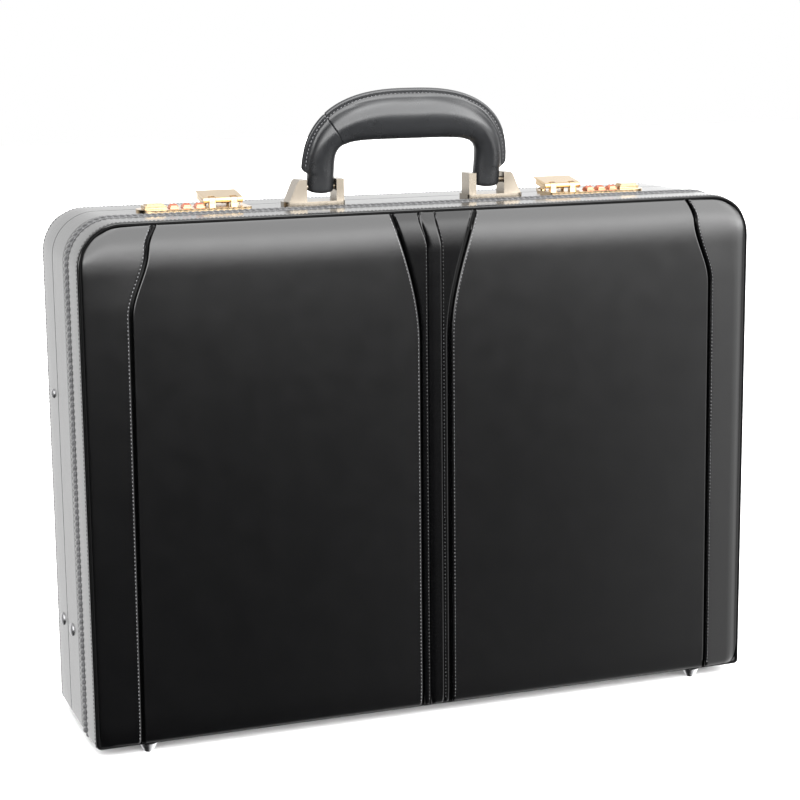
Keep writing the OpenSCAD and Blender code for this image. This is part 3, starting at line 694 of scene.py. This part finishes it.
INSET_FORM = dict(face=PAD_T - INSET_SUNK, top=(26, 2.6), bottom=(12, 1.6), swell=0.0)
main_pad = Pad(panel_left, panel_right, PAD_T, left_edge=(1.1, 1.6), right_edge=(0.6, 1.6))
strip_pad = Pad(strip_left, edge_x, PAD_T, left_edge=(1.6, 1.4), right_edge=(7, 3.2), swell=0.0,
                tilt=1.7)
rear_pad = Pad(lambda z: VALLEY / 2 - seam_x(z), panel_right, PAD_T)
inset_right = Pad(ridge_right, inset_right_edge, left_edge=(1.0, 0.4), right_edge=(1.4, 1.0),
                  **INSET_FORM)
inset_left = Pad(lambda z: -inset_right_edge(z), ridge_left, left_edge=(1.4, 1.0),
                 right_edge=(1.0, 0.4), **INSET_FORM)
ridge_pad = Pad(ridge_left, ridge_right, PAD_T - RIDGE_SUNK, top=(26, 3.4), bottom=(12, 2.4),
                left_edge=(3.0, 1.2), right_edge=(1.2, 1.8), swell=0.0)

FINE, FINEST = 2.5 * MM, 1.2 * MM   # spacing of a narrow pad's rows and columns
half_main, half_strip = main_pad.mesh(-1), strip_pad.mesh(-1, FINE)
rear_strip = strip_pad.mesh(1, FINE)
for name, parts, slot, body, node in (
        ("front_panel_leather", [half_main, mirrored(half_main)], "black_leather", "base",
         "front_panels"),
        ("front_strip_leather", [half_strip, mirrored(half_strip)], "black_leather", "base",
         "front_side_strips"),
        ("front_inset_leather", [inset_left.mesh(-1, FINE), inset_right.mesh(-1, FINE)],
         "trim_leather", "base", "front_inset"),
        ("front_ridge_leather", [ridge_pad.mesh(-1, FINEST)], "trim_leather", "base",
         "front_ridge"),
        ("rear_panel_leather", [rear_pad.mesh(1)], "black_leather", "lid", "rear_panel"),
        ("rear_strip_leather", [rear_strip, mirrored(rear_strip)], "black_leather", "lid",
         "rear_side_strips")):
    add_piece(name, join_parts(parts), slot, body, node, smooth_angle=PAD_SMOOTH)

STITCH_IN = 1.5 * MM                # from the edge of the leather to its row of stitches
RIDGE_STITCH_OUT = 1.1 * MM         # from the ridge to the rows beside it
SEAM_STITCH = dict(pitch=2.4 * MM, length=1.2 * MM, width=0.7 * MM)
ROW_LOW, ROW_HIGH, ROW_STEP = 3 * MM, 1.5 * MM, 1 * MM
SLOPE_STEP = 0.4 * MM


def pad_row(pad, x_of_z, side, sign=1):
    """A stitch row down a padded piece: x_of_z says where, and the stitches lie on its face."""
    board = FRONT_Y if side < 0 else REAR_Y
    line = []
    for z in np.arange(PAD_LOW + ROW_LOW, PAD_HIGH - ROW_HIGH, ROW_STEP):
        x = x_of_z(z)
        line.append((sign * x, board + side * (pad.face - pad.fall(x, z)), z))

    def up(place):
        x, z, h = sign * place[0], place[2], SLOPE_STEP
        slope_x = (pad.fall(x + h, z) - pad.fall(x - h, z)) / (2 * h)
        slope_z = (pad.fall(x, z + h) - pad.fall(x, z - h)) / (2 * h)
        return unit((sign * slope_x, side, slope_z))
    return stitch_row(line, up, **SEAM_STITCH)


def strip_row(side, sign):
    return pad_row(strip_pad, lambda z: strip_left(z) + STITCH_IN, side, sign)


front_rows = []
for sign in (-1, 1):
    front_rows += [strip_row(-1, sign),
                   pad_row(main_pad, lambda z: panel_left(z) + STITCH_IN, -1, sign)]
ridge_rows = [pad_row(inset_left, lambda z: ridge_left(z) - RIDGE_STITCH_OUT, -1),
              pad_row(inset_right, lambda z: ridge_right(z) + RIDGE_STITCH_OUT, -1)]
rear_rows = [strip_row(1, sign) for sign in (-1, 1)]
for name, rows, body, material in (("front_stitches", front_rows, "base", SEAM_THREAD_WITH_PAINTED_SHEEN),
                                   ("ridge_stitches", ridge_rows, "base", DARK_THREAD),
                                   ("rear_stitches", rear_rows, "lid", SEAM_THREAD_WITH_PAINTED_SHEEN)):
    add_piece(name, join_parts(rows), "trim_leather", body, material=material,
              smooth_angle=ALL_SMOOTH)

# ---------- handle ----------

PIVOT = Vector(next(j["pos_m"] for j in frame["joints"] if j["name"] == "handle_swing"))
LEAN = math.radians(12)             # the handle's lean at rest
ARCH_LOW = 8 * MM                   # where the legs end and the arch starts, over the pivot
INNER = (49 * MM, 22.4 * MM, 5.6)   # half width, height and squareness of each curve of the arch
GRIP_OUTER = (67.3 * MM, 50.6 * MM, 2.6)
FIN_OUTER = (71.8 * MM, 55.8 * MM, 2.6)
LEG_END = -3.2 * MM
GRIP_HALF_T, LEG_HALF_T, FIN_HALF_T = 11.4 * MM, 7.8 * MM, 1.5 * MM
BODY_POWER = 2.15                   # squareness of the padded body's section
FIN_ENDS, FIN_FADE = (0.5, 179.5), 2.5      # angles where the fin starts and stops, and its fade
FIN_TIP = 1.1 * MM                  # depth of the fin's rounded edge
FILLET = 2.6 * MM                   # how softly the padded body runs into the fin
WRAP_ANGLE = 139                    # where the grip's wrap meets the leg's, in degrees
WRAP_GROOVE, WRAP_STEP = 0.06, 0.025    # how much the section shrinks at that seam and past it
FIN_STITCH = dict(pitch=2.7 * MM, length=1.7 * MM, width=0.7 * MM)
FIN_STITCH_AT = 0.42                # where across the fin the stitches lie

# (height over the pivot, scale of the section) down a leg, rounded off at its end
LEG_ROWS = [(LEG_END, 0.62), (LEG_END + 0.3 * MM, 0.80), (LEG_END + 0.9 * MM, 0.93),
            (LEG_END + 1.8 * MM, 1.0), (0.0, 1.0), (3 * MM, 1.0), (5.5 * MM, 1.0)]
# angles of the arch's sections, close together at the fin's ends and at the wrap's seam
ARCH_ANGLES = np.concatenate([
    np.linspace(0, 4, 12)[:-1], np.linspace(4, 30, 16)[:-1], np.linspace(30, 136, 54),
    np.linspace(136.5, 142, 23), np.linspace(143, 176, 20)[:-1], np.linspace(176, 180, 12)])


def quarter(t):
    """Rises from 0 to 1 like a quarter circle as t goes from 0 to 1."""
    return math.sqrt(max(0.0, 1 - (1 - min(max(t, 0.0), 1.0)) ** 2))


def arch(curve, angle):
    """A point on a squared ellipse: angle 0 is the right leg, 180 the left one."""
    half, height, power = curve
    c, s = math.cos(math.radians(angle)), math.sin(math.radians(angle))
    x = half * math.copysign(abs(c) ** (2 / power), c)
    return np.array([x, ARCH_LOW + height * max(s, 0.0) ** (2 / power)])


def handle_place(x, y, s):
    """From the handle's own upright plane to the case, leaning about its pivot."""
    return (PIVOT.x + x, PIVOT.y + y * math.cos(LEAN) - s * math.sin(LEAN),
            PIVOT.z + y * math.sin(LEAN) + s * math.cos(LEAN))


def fin_tip(angle):
    """The outer edge of the stitched fin at an angle; the fin is rounded off at both ends."""
    body, tip = arch(GRIP_OUTER, angle), arch(FIN_OUTER, angle)
    return body + (tip - body) * quarter(min(angle - FIN_ENDS[0], FIN_ENDS[1] - angle) / FIN_FADE)


def leg_section(sign, height, scale):
    outer = np.array([sign * GRIP_OUTER[0], height])
    return np.array([sign * INNER[0], height]), outer, outer, LEG_HALF_T, scale


def grip_rows():
    """(inner point, body's outer point, fin's tip, half thickness, scale) of each section."""
    rows = [leg_section(1, *row) for row in LEG_ROWS]
    for a in ARCH_ANGLES:
        thick = LEG_HALF_T + (GRIP_HALF_T - LEG_HALF_T) * math.sin(math.radians(a)) ** 1.5
        scale = 1.0 - WRAP_GROOVE * math.exp(-((a - WRAP_ANGLE) / 0.55) ** 2)
        if a > WRAP_ANGLE:
            scale -= WRAP_STEP
        rows.append((arch(INNER, a), arch(GRIP_OUTER, a), fin_tip(a), thick, scale))
    return rows + [leg_section(-1, height, scale - WRAP_STEP)
                   for height, scale in reversed(LEG_ROWS)]


def half_thickness(u, body, fin, thick):
    """Half the handle's thickness at a distance u from its inner side."""
    t = 2 * u / body - 1
    round_part = (thick * math.sqrt(max(0.0, 1 - abs(t) ** BODY_POWER))
                  - 1.6 * max(0.0, u - body))
    if fin <= 0 or t <= 0:
        return max(round_part, 0.0)
    past = max(0.0, (u - (body + fin - FIN_TIP)) / FIN_TIP)
    flat = min(1.0, fin / (2 * MM)) * math.sqrt(max(0.0, 1 - min(past, 1.0) ** 2))
    flat_part = FIN_HALF_T * flat
    return 0.5 * (round_part + flat_part + math.hypot(round_part - flat_part, FILLET * flat))


def handle_grip(half_steps=30):
    """The padded body and the fin sewn along its outer edge, as one skin."""
    shares = [(1 - math.cos(math.pi * k / half_steps)) / 2 for k in range(half_steps + 1)]
    verts = []
    rows = grip_rows()
    for inner, outer, tip, thick, scale in rows:
        reach, body = np.linalg.norm(tip - inner), np.linalg.norm(outer - inner)
        way = (tip - inner) / reach
        middle = inner + way * body / 2
        section = [(u * reach, half_thickness(u * reach, body, reach - body, thick))
                   for u in shares]
        for u, h in section + [(u, -h) for u, h in section[-2:0:-1]]:
            along = min(u - body / 2, body / 2) * scale + max(0.0, u - body)
            p = middle + way * along
            verts.append(handle_place(p[0], -h * scale, p[1]))
    segments = 2 * half_steps
    return verts, loop_faces(len(rows), segments) + cap_faces(len(rows), segments)


def fin_stitches():
    rows = []
    for side in (-1, 1):
        line = []
        for a in np.linspace(3, 177, 260):
            body, tip = arch(GRIP_OUTER, a), fin_tip(a)
            p = body + (tip - body) * FIN_STITCH_AT
            line.append(handle_place(p[0], side * FIN_HALF_T * 1.25, p[1]))
        up = Vector(handle_place(0, side, 0)) - Vector(handle_place(0, 0, 0))
        rows.append(stitch_row(line, np.array(up), **FIN_STITCH))
    return join_parts(rows)


add_piece("handle_cover", handle_grip(), "handle_leather", "handle", "handle_leather",
          smooth_angle=GRIP_SMOOTH)
add_piece("handle_stitches", fin_stitches(), "handle_leather", "handle",
          material=SEAM_THREAD_WITH_PAINTED_SHEEN, smooth_angle=ALL_SMOOTH)

# ---------- lining and organiser ----------

BASE_LINING_LOW, BASE_LINING_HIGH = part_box("base_lining")
LID_LINING_LOW, LID_LINING_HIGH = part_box("lid_lining")
LIP_LOW, LIP_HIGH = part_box("closing_lip")
POCKET_LOW, POCKET_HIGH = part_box("file_pockets")
LOOP_LOW, LOOP_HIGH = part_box("pen_loops")
LINING_IN = SHELL + TUCK
BASE_LINING_T, LID_LINING_T = 1.2 * MM, 0.8 * MM
LIP_IN, LIP_OUT = SHELL + 2.7 * MM, SHELL + 1.25 * MM
LINED_DEPTHS = np.array([0, 0.2, 0.6, 1.2, 2, 4, 8, 16, 30, 50, 75, 105, 140]) * MM
LINED_ROLL, LINED_CROWN = 2 * MM, 120 * MM  # widths of a lined panel's rounded edge and its crown
SHEET = 1.4 * MM                    # thickness of the organiser's leather
SEWN = 9 * MM                       # how far from a sewn side a sheet still rises
SHEET_EDGE = 9.5 * MM
POCKET_DEPTH = 3.0 * MM
POCKET_STEP, STRAP_STEP = 6 * MM, 5 * MM
HEM_R, HEM_STITCH_DOWN = 1.3 * MM, 5 * MM
HEM_STITCH = dict(pitch=3 * MM, length=2 * MM, width=0.7 * MM)
STRAP_DEPTH = 0.2 * MM
LOOP_R, LOOP_RIM_R, LOOP_TURNS = 6 * MM, 0.5 * MM, 40
LOOPS_X = (100 * MM, 130 * MM, 160 * MM)
LOOP_BACK = 1.6 * MM                # from the strap's back to the back of a loop


def lined_wall(y0, y1, outer, inner, round_low, round_high):
    """A band of lining from y0 to y1 between two insets, rounded over at its free edges."""
    mid, half = (outer + inner) / 2, (inner - outer) / 2
    profile = [] if round_low else [(y0, outer)]
    profile += (rounded(y1 - half, mid, half, half, 90, -90, 7) if round_high
                else [(y1, outer), (y1, inner)])
    profile += (rounded(y0 + half, mid, half, half, -90, -270, 7) if round_low
                else [(y0, inner)])
    return ring_skin(profile)


def cushion(y, side, thick, bulge):
    """The lined board at the back of a shell: a softly crowned panel that faces along side."""
    verts = []
    for d in LINED_DEPTHS:
        height = (thick * quarter(d / LINED_ROLL)
                  + bulge * math.sin(math.pi / 2 * min(d / LINED_CROWN, 1)))
        verts += ring_line(y + side * height, LINING_IN + d)
    loops = len(LINED_DEPTHS)
    size = len(verts) // loops
    faces = loop_faces(loops, size) + cap_faces(loops, size)
    return verts, flipped(faces) if side > 0 else faces


def soft_sheet(x0, x1, z0, z1, back_y, depth, sewn, step):
    """A sheet sewn down on some sides (left, right, bottom, top) that stands off in the middle."""
    xs = spread(x0, x1, SHEET_EDGE, SHEET_EDGE, step)
    zs = spread(z0, z1, SHEET_EDGE, SHEET_EDGE, step)
    near, far = [], []
    for z in zs:
        for x in xs:
            rise = 1.0
            for held, d in zip(sewn, (x - x0, x1 - x, z - z0, z1 - z)):
                if held:
                    rise *= quarter(d / SEWN)
            y = back_y - TUCK - depth * rise
            near.append((x, y - SHEET, z))
            far.append((x, y, z))
    rows, columns = len(zs), len(xs)
    return (near + far, slab_faces(rows, columns)), near[(rows - 1) * columns:]


def tube(line, radius, segments=10):
    """A round cord along a line that runs roughly along X, closed at both ends."""
    verts = []
    for i, (x, y, z) in enumerate(line):
        r = radius * (0.5 if i in (0, len(line) - 1) else 1.0)
        for j in range(segments):
            a = 2 * math.pi * j / segments
            verts.append((x, y + r * math.cos(a), z + r * math.sin(a)))
    return verts, (loop_faces(len(line), segments, inside_out=True)
                   + flipped(cap_faces(len(line), segments)))


def pocket(x0, x1, height, back_y):
    """A file pocket, open at the top, with a rolled hem and a row of stitches under it."""
    z0 = POCKET_LOW.z
    sheet, mouth = soft_sheet(x0, x1, z0, z0 + height, back_y, POCKET_DEPTH, (1, 1, 1, 0),
                              POCKET_STEP)
    hem = tube([(x, y + SHEET / 2, z) for x, y, z in mouth], HEM_R)
    row = [(x, y, z - HEM_STITCH_DOWN) for x, y, z in mouth]
    return [sheet, hem], stitch_row(row[3:-3], (0, -1, 0), **HEM_STITCH)


def pen_loop(x):
    """One round loop of leather with rounded rims."""
    z0, z1 = LOOP_LOW.z, LOOP_HIGH.z
    middle_y = LOOP_HIGH.y - LOOP_BACK - LOOP_R
    half = LOOP_RIM_R
    rim = [(LOOP_R - half + half * math.cos(a), edge + half * math.sin(a))
           for edge, start in ((z1 - half, 0), (z0 + half, 180))
           for a in np.radians(np.linspace(start, start + 180, 5))]
    verts = []
    for i in range(LOOP_TURNS):
        a = 2 * math.pi * i / LOOP_TURNS
        verts += [(x + r * math.cos(a), middle_y + r * math.sin(a), z) for r, z in rim]
    return verts, loop_faces(LOOP_TURNS, len(rim), closed=True, inside_out=True)


pocket_parts, pocket_rows = [], []
SMALL_BACK = POCKET_HIGH.y - POCKET_DEPTH - SHEET - 0.2 * MM    # the small pockets' backs
for x0, x1, height, back in ((POCKET_LOW.x, POCKET_HIGH.x, 204 * MM, POCKET_HIGH.y),
                             (POCKET_LOW.x, 40 * MM, 122 * MM, SMALL_BACK),
                             (60 * MM, POCKET_HIGH.x, 82 * MM, SMALL_BACK)):
    parts, row = pocket(x0, x1, height, back)
    pocket_parts += parts
    pocket_rows.append(row)
strap, _ = soft_sheet(LOOP_LOW.x, LOOP_HIGH.x, LOOP_LOW.z, LOOP_HIGH.z, LOOP_HIGH.y, STRAP_DEPTH,
                      (1, 1, 1, 1), STRAP_STEP)
for name, parts, slot, body, node in (
        ("base_lining_cloth",
         [lined_wall(BASE_LINING_LOW.y, BASE_LINING_HIGH.y, LINING_IN, SHELL + BASE_LINING_T,
                     False, True),
          cushion(BASE_LINING_LOW.y + TUCK, 1, 1.1 * MM, 1.0 * MM)],
         "lining", "base", "base_lining"),
        ("lid_lining_cloth",
         [lined_wall(LID_LINING_LOW.y, LID_LINING_HIGH.y, LINING_IN, SHELL + LID_LINING_T,
                     True, False),
          cushion(LID_LINING_HIGH.y - TUCK, -1, 0.6 * MM, 0.15 * MM)],
         "lining", "lid", "lid_lining"),
        ("closing_lip_cloth", [lined_wall(LIP_LOW.y, LIP_HIGH.y, LIP_OUT, LIP_IN, True, True)],
         "lining", "base", "closing_lip"),
        ("pocket_leather", pocket_parts, "organiser", "lid", "file_pockets"),
        ("pen_loop_leather", [strap] + [pen_loop(x) for x in LOOPS_X], "organiser", "lid",
         "pen_loops")):
    add_piece(name, join_parts(parts), slot, body, node, smooth_angle=PAD_SMOOTH)
add_piece("organiser_stitches", join_parts(pocket_rows), "organiser", "lid",
          material=SEAM_THREAD_WITH_PAINTED_SHEEN, smooth_angle=ALL_SMOOTH)

# ---------- metal parts: rounded edges on the CAD's own pieces ----------

WELD_WITHIN = 0.005 * MM
BEVEL_ANGLE, BEVEL_SEGMENTS = math.radians(35), 2
BEVELS = {"handle_brackets": 0.8, "lock_plates": 0.3, "left_hasp": 0.3, "right_hasp": 0.3,
          "left_button": 0.4, "right_button": 0.4, "strikes": 0.25, "base_feet": 0.4,
          "lid_feet": 0.4, "left_stay": 0.3, "right_stay": 0.3, "stay_tracks": 0.2,
          "hinge_base_leaf": 0.15, "hinge_lid_leaf": 0.15}     # widths in mm


def soften(node, width):
    """Breaks the sharp edges of a CAD node, so that they catch the light."""
    obj = frame["nodes"][node]
    mesh = obj.data
    if "custom_normal" in mesh.attributes:
        mesh.attributes.remove(mesh.attributes["custom_normal"])
    weld = obj.modifiers.new("weld", "WELD")
    weld.merge_threshold = WELD_WITHIN
    bevel = obj.modifiers.new("bevel", "BEVEL")
    bevel.width = width * MM
    bevel.segments = BEVEL_SEGMENTS
    bevel.limit_method = "ANGLE"
    bevel.angle_limit = BEVEL_ANGLE
    bevel.harden_normals = True
    mesh.polygons.foreach_set("use_smooth", [True] * len(mesh.polygons))


for node, width in BEVELS.items():
    soften(node, width)

# ---------- camera, light and floor ----------

CAMERA_AZIMUTH, CAMERA_ELEVATION, CAMERA_ROLL = -20.487, 10.922, -0.592
CAMERA_AIM = Vector((-1.02, 4.27, 202.92)) * MM
CAMERA_DISTANCE = 1.362
CAMERA_LENS, CAMERA_SENSOR = 90.7, 36
OVERHEAD_PLACE, OVERHEAD_AIM = Vector((0.2, -0.6, 1.9)), Vector((0, 0, 0.2))
OVERHEAD_SIZE, OVERHEAD_POWER = (1.2, 0.8), 8
FLOOR_HALF = 6.0

# each light is a direction, the cosines to it where it starts and is full, and its strength
RIGHT, UP = (1, 0, 0), (0, 0, 1)
FRONT_HALF = ((0, -1, 0), 0.1, 0.6, 1.0)
FRONT_SOFTBOX = ((UP, -0.095, 0.03, 6.6), (UP, 0.0, 0.07, 3.5), (UP, 0.08, 0.17, -3.5))
OTHER_LIGHTS = (
    (RIGHT, 0.2, 0.5, 0.3), (RIGHT, 0.40, 0.85, 3.0),       # softbox on the right
    ((0.1, 1, 0), 0.3, 0.8, 1.25),                          # white paper behind
    ((-0.34, 0.92, -0.1), 0.85, 0.97, 0.25), ((0.5, 0, -0.86), 0.8, 0.98, 1.0),
    (UP, 0.5, 0.95, 1.5),                                   # ceiling
    (RIGHT, 0.74, 0.92, -2.7))                              # the right softbox's far edge
DIM_ROOM = 0.015


def place_camera():
    a, e, roll = (math.radians(v) for v in (CAMERA_AZIMUTH, CAMERA_ELEVATION, CAMERA_ROLL))
    back = Vector((math.sin(a) * math.cos(e), -math.cos(a) * math.cos(e), math.sin(e)))
    data = bpy.data.cameras.new("camera")
    data.lens, data.sensor_width = CAMERA_LENS, CAMERA_SENSOR
    data.clip_start, data.clip_end = 0.05, 50
    camera = bpy.data.objects.new("camera", data)
    camera.rotation_mode = "QUATERNION"
    turn = (-back).to_track_quat("-Z", "Y").to_matrix().to_4x4() @ Matrix.Rotation(roll, 4, "Z")
    camera.rotation_quaternion = turn.to_quaternion()
    camera.location = CAMERA_AIM + back * CAMERA_DISTANCE
    bpy.context.scene.collection.objects.link(camera)
    bpy.context.scene.camera = camera


def overhead_light():
    data = bpy.data.lights.new("overhead", "AREA")
    data.shape = "RECTANGLE"
    data.size, data.size_y = OVERHEAD_SIZE
    data.energy = OVERHEAD_POWER
    light = bpy.data.objects.new("overhead", data)
    light.location = OVERHEAD_PLACE
    light.rotation_mode = "QUATERNION"
    light.rotation_quaternion = (OVERHEAD_AIM - OVERHEAD_PLACE).to_track_quat("-Z", "Y")
    bpy.context.scene.collection.objects.link(light)


def studio_world():
    """White surroundings: softboxes above the front and on the right, white paper behind."""
    world = bpy.data.worlds.new("studio")
    bpy.context.scene.world = world
    world.use_nodes = True
    tree = world.node_tree
    tree.nodes.clear()
    direction = tree.nodes.new("ShaderNodeTexCoord").outputs["Generated"]

    def toward(vector, low, high, strength):
        """A soft light round a direction, between two values of the cosine to it."""
        dot = tree.nodes.new("ShaderNodeVectorMath")
        dot.operation = "DOT_PRODUCT"
        tree.links.new(direction, dot.inputs[0])
        dot.inputs[1].default_value = Vector(vector).normalized()
        ramp = tree.nodes.new("ShaderNodeMapRange")
        ramp.interpolation_type = "SMOOTHSTEP"
        for key, value in (("From Min", low), ("From Max", high), ("To Min", 0),
                           ("To Max", strength)):
            ramp.inputs[key].default_value = value
        tree.links.new(dot.outputs["Value"], ramp.inputs["Value"])
        return ramp.outputs["Result"]

    def combine(operation, first, *others):
        """One value from several, two at a time; a plain number may be among the others."""
        for other in others:
            node = tree.nodes.new("ShaderNodeMath")
            node.operation = operation
            tree.links.new(first, node.inputs[0])
            if isinstance(other, float):
                node.inputs[1].default_value = other
            else:
                tree.links.new(other, node.inputs[1])
            first = node.outputs[0]
        return first

    def background(strength=1.0):
        node = tree.nodes.new("ShaderNodeBackground")
        node.inputs["Color"].default_value = (1, 1, 1, 1)
        node.inputs["Strength"].default_value = strength
        return node

    softbox = combine("ADD", *[toward(*light) for light in FRONT_SOFTBOX])
    total = combine("ADD", combine("MULTIPLY", toward(*FRONT_HALF), softbox),
                    *[toward(*light) for light in OTHER_LIGHTS], DIM_ROOM)
    lit, seen = background(), background()
    tree.links.new(total, lit.inputs["Strength"])
    mix = tree.nodes.new("ShaderNodeMixShader")
    tree.links.new(tree.nodes.new("ShaderNodeLightPath").outputs["Is Camera Ray"],
                   mix.inputs["Fac"])
    tree.links.new(lit.outputs[0], mix.inputs[1])
    tree.links.new(seen.outputs[0], mix.inputs[2])
    tree.links.new(mix.outputs[0], tree.nodes.new("ShaderNodeOutputWorld").inputs["Surface"])


def floor():
    n = Nodes("floor_paper")
    n.shade({"Base Color": n.mix(n.noise(3), (0.93, 0.93, 0.93), (0.95, 0.95, 0.95)),
             "Roughness": 0.9, "Specular IOR Level": 0.1})
    corners = [(x * FLOOR_HALF, y * FLOOR_HALF, 0) for x, y in ((-1, -1), (1, -1), (1, 1), (-1, 1))]
    obj = new_object("floor", corners, [[0, 1, 2, 3]], n.material)
    obj.visible_glossy = False      # the leather's shine shows the softboxes instead


place_camera()
studio_world()
floor()
overhead_light()
bpy.context.scene.view_settings.view_transform = "Standard"
